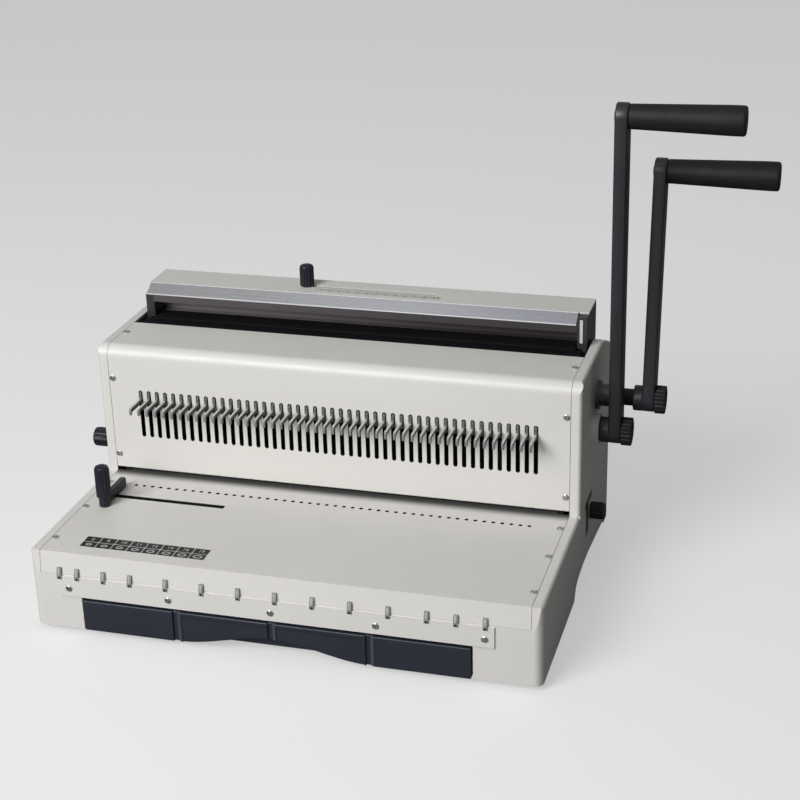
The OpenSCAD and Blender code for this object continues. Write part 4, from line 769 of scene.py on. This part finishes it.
def makeClips(s):
    tab = slab(softPath(s["outline"], s["round"], 3, True), -s["half"], s["half"], s["edge"], 3)
    bead = slab(softPath(s["bead"], s["beadRound"], 3, True), -s["beadHalf"], s["beadHalf"], s["beadEdge"], 3)
    pin = pinPart(*s["pin"], s["pinRadius"], s["pinRound"], s["pinSides"], s["pinTip"])
    parts = []
    for k in s["steps"]:
        x = s["middle"] + (k - s["middleStep"]) * s["step"]
        parts += [setDown(tab, (x, 0, 0), *alongX), (*setDown(bead, (x, 0, 0), *alongX), "clipPale"),
            (*setDown(pin, (x, 0, s["pinZ"]), *towardFront), "knobPlastic")]
    addPiece("stripClips", parts, "clipGrey", "frame", ["strip_clips"])


makeClips(clipSet)
print("clips done")


# drawer front: a soft-edged section carried along x, its lower edge raised by a cosine arch; three grooves part it,
# steep on the left and sloped on the right, and the two middle panels are sunk below a bevel

drawerSet = {
    "x": (-186.9, 174.5), "z": (6.3, 36.6), "y": (-2.0, 9.0), "middle": -6.2, "archLength": 180.0, "archHeight": 13.4,
    "grooves": (-90.0, 0.0, 90.0), "grooveX": (-3.8, -3.1, 0.0, 3.8), "grooveDepth": 2.15, "edge": 1.0, "stations": 260,
    "sunk": 0.9, "bevel": (2.6, 4.4), "sharp": 30, "grooveReach": 4.4, "grooveStations": 45, "bandHalf": 4.5,
    "levels": 8,
}


def makeDrawerFront(s):
    (x0, x1), (z0, z1), (y0, y1), e = s["x"], s["z"], s["y"], s["edge"]
    reach = np.linspace(-s["grooveReach"], s["grooveReach"], s["grooveStations"])
    near = [s["middle"] + c + reach for c in s["grooves"]]
    ends = np.linspace(0, e, 7)
    x = np.unique(np.concatenate([np.linspace(x0, x1, s["stations"]), x0 + ends, x1 - ends, *near]))
    toEnd = np.minimum(x - x0, x1 - x)
    ease = e - np.sqrt(np.clip(e ** 2 - np.clip(e - toEnd, 0, e) ** 2, 0, None))
    off = x - s["middle"]
    wave = s["archHeight"] * (1 + np.cos(2 * np.pi * off / s["archLength"])) / 2
    arch = np.where(abs(off) < s["archLength"] / 2, wave, 0)
    groove = sum(np.interp(off - c, s["grooveX"], (0, s["grooveDepth"], s["grooveDepth"], 0)) for c in s["grooves"])
    inner = (abs(off) < s["grooves"][2] - s["bandHalf"]) & (abs(off) > s["bandHalf"])
    low, top, face = z0 + arch + ease, z1 - ease, y0 + ease + groove
    # section: up the front face, over the top, down the back, in along the bottom
    arc = np.linspace(0, np.pi / 2, 5)
    b0, b1 = s["bevel"]
    rise = np.linspace(0, 1, s["levels"])
    frontZ = np.concatenate([(low + e)[:, None] + (top - b1 - low - e)[:, None] * rise[None], (top - b0)[:, None],
        (top - e)[:, None]], 1)
    sinks = np.arange(frontZ.shape[1]) < s["levels"]
    frontY = face[:, None] + (inner * s["sunk"])[:, None] * sinks[None]
    topY = face[:, None] + e * (1 - np.cos(arc))[None]
    topZ = top[:, None] - e * (1 - np.sin(arc))[None]
    backY = np.full((len(x), 2), y1)
    backZ = np.stack([top, low], -1)
    botY = frontY[:, :1] + e * (1 - np.sin(arc))[None]
    botZ = low[:, None] + e * (1 - np.cos(arc))[None]
    ys = np.concatenate([frontY, topY[:, 1:], backY, botY[:, :-1]], 1)
    zs = np.concatenate([frontZ, topZ[:, 1:], backZ, botZ[:, :-1]], 1)
    part = gridPart(np.stack([np.broadcast_to(x[:, None], ys.shape), ys, zs], -1))
    addPiece("drawerFront", [inPlace(part)], "drawerPlastic", "drawer", ["drawer_front"], s["sharp"])


makeDrawerFront(drawerSet)
print("drawer front done")


# edge guide: a soft bar on the deck with a foot through the slot

guideSet = {"bar": (-209.05, -202.55), "y": (93.0, 142.0), "z": (82.3, 91.9), "edge": 1.2, "bossRadius": 5.25,
    "bossY": 98.0, "stemX": (-208.0, -203.6), "stemY": (117.3, 122.7), "stemLow": 79.2, "footHalf": 6.0,
    "footY": (114.0, 126.0), "footZ": (76.7, 79.7), "barRound": 2.2, "bossRound": 0.6, "bossSides": 48, "bossTip": 0.4,
    "stemRound": 0.6, "stemEdge": 0.2, "stemInBar": 0.5, "footRound": 1.0, "footEdge": 0.4}


def boxOutline(x0, x1, y0, y1, r, steps=5):
    return softPath([(x0, y0), (x1, y0), (x1, y1), (x0, y1)], r, steps, True)


def makeGuide(s):
    mid, half, (z0, z1) = sum(s["bar"]) / 2, s["footHalf"], s["z"]
    bar = slab(boxOutline(*s["bar"], *s["y"], s["barRound"]), z0, z1, s["edge"])
    pts, faces = pinPart(z0, z1, s["bossRadius"], s["bossRound"], s["bossSides"], s["bossTip"])
    boss = (pts + (mid, s["bossY"], 0), faces)
    stem = slab(boxOutline(*s["stemX"], *s["stemY"], s["stemRound"]), s["stemLow"], z0 + s["stemInBar"], s["stemEdge"])
    foot = slab(boxOutline(mid - half, mid + half, *s["footY"], s["footRound"]), *s["footZ"], s["footEdge"])
    addPiece("edgeGuide", [inPlace(p) for p in (bar, boss, stem, foot)], "knobPlastic", "guide",
        ["edge_guide"])


makeGuide(guideSet)
print("edge guide done")


# lettering: plain figures, made a mesh and laid flat at a height

def figurePart(text, size, x, y, z, thick=0.06):
    data = bpy.data.curves.new("figure", "FONT")
    data.body = text
    data.size = size
    data.align_x, data.align_y = "CENTER", "CENTER"
    data.extrude = thick / 2
    data.resolution_u = 3
    obj = bpy.data.objects.new("figure", data)
    bpy.context.scene.collection.objects.link(obj)
    bpy.context.view_layer.update()
    mesh = bpy.data.meshes.new_from_object(obj.evaluated_get(bpy.context.evaluated_depsgraph_get()))
    bpy.data.objects.remove(obj)
    pts = np.zeros(len(mesh.vertices) * 3)
    mesh.vertices.foreach_get("co", pts)
    faces = [list(p.vertices) for p in mesh.polygons]
    bpy.data.meshes.remove(mesh)
    return pts.reshape(-1, 3) + (x, y, z + thick / 2), faces


# settings label: a row of dark cells with plain figures over a row of growing ovals, on a pale backing

labelSet = {"x": (-194.4, -73.4), "y": (16.5, 36.5), "z": 82.0, "backing": 0.12, "cell": 0.22, "gap": 0.9,
    "columns": 8, "figures": ("6", "8", "10", "11", "12", "14", "16", "19"), "figureSize": 6.2,
    "ovalHalf": (3.0, 2.1), "ovalGrow": (0.22, 0.11), "ovalLine": (1.3, 1.1), "ovalThick": 0.05, "ovalEdge": 0.01,
    "ovalSides": 40, "backRound": 1.0, "backEdge": 0.04, "cellRound": 0.8, "cellLow": 0.04, "cellEdge": 0.03,
    "markSunk": 0.03, "coreSunk": 0.01}


def makeLabel(s):
    (x0, x1), (y0, y1), z, g = s["x"], s["y"], s["z"], s["gap"]
    back = slab(boxOutline(x0, x1, y0, y1, s["backRound"], 4), z, z + s["backing"], s["backEdge"], 2)
    parts = [(*inPlace(back), "labelPale")]
    step, deep = (x1 - x0) / s["columns"], (y1 - y0) / 2
    hx, hy = (step - g) / 2, (deep - g) / 2
    v = np.linspace(0, 2 * np.pi, s["ovalSides"], endpoint=False)

    def oval(cx, cy, rx, ry, level, finish):
        line = np.stack([cx + rx * np.cos(v), cy + ry * np.sin(v)], -1)
        parts.append((*inPlace(slab(line, level, level + s["ovalThick"], s["ovalEdge"], 2)), finish))

    for col, text in enumerate(s["figures"]):
        for row in range(2):
            cx, cy = x0 + (col + 0.5) * step, y1 - (row + 0.5) * deep
            line = boxOutline(cx - hx, cx + hx, cy - hy, cy + hy, s["cellRound"], 4)
            parts.append((*inPlace(slab(line, z + s["cellLow"], z + s["cell"], s["cellEdge"], 2)), "labelBlack"))
            level = z + s["cell"] - s["markSunk"]
            if row == 0:
                parts.append((*inPlace(figurePart(text, s["figureSize"], cx, cy, level)), "labelPale"))
            else:
                rx, ry = (half + col * grow for half, grow in zip(s["ovalHalf"], s["ovalGrow"]))
                oval(cx, cy, rx, ry, level, "labelPale")
                oval(cx, cy, rx - s["ovalLine"][0], ry - s["ovalLine"][1], z + s["cell"] - s["coreSunk"], "labelBlack")
    addPiece("settingsLabel", parts, "labelPale", "frame", ["settings_label"])


makeLabel(labelSet)


# size scale on the closer's cover: a thin pale strip with ticks and figures, and a red mark at its end

scaleSet = {"x": (-52.0, 76.0), "y": (286.0, 294.5), "z": 243.5, "thick": 0.2, "first": -46.0, "step": 9.6, "ticks": 13,
    "minor": 4, "figureSize": 4.6, "figureUp": 2.7, "figureSunk": 0.02, "redX": 73.0, "round": 1.0, "edge": 0.05,
    "tickTop": 0.6, "tickZ": (-0.03, 0.05), "tickRound": 0.02, "tickEdge": 0.01, "longTick": (0.35, 2.6),
    "shortTick": (0.22, 1.5), "redTick": (0.9, 3.4)}


def makeScale(s):
    (x0, x1), (y0, y1), z = s["x"], s["y"], s["z"] + s["thick"]
    strip = slab(boxOutline(x0, x1, y0, y1, s["round"], 4), s["z"], z, s["edge"], 2)
    parts = [(*inPlace(strip), "labelPale")]
    top, (low, high) = y1 - s["tickTop"], s["tickZ"]

    def tick(x, half, reach, finish):
        line = boxOutline(x - half, x + half, top - reach, top, s["tickRound"], 2)
        parts.append((*inPlace(slab(line, z + low, z + high, s["tickEdge"], 2)), finish))

    for i in range(s["ticks"]):
        x = s["first"] + i * s["step"]
        tick(x, *s["longTick"], "printBlack")
        figure = figurePart(str(i + 1), s["figureSize"], x, y0 + s["figureUp"], z - s["figureSunk"])
        parts.append((*inPlace(figure), "printBlack"))
        if i < s["ticks"] - 1:
            for k in range(1, s["minor"]):
                tick(x + k * s["step"] / s["minor"], *s["shortTick"], "printBlack")
    tick(s["redX"], *s["redTick"], "markRed")
    addPiece("sizeScale", parts, "labelPale", "frame", ["scale_plate"])


makeScale(scaleSet)
print("label and scale done")
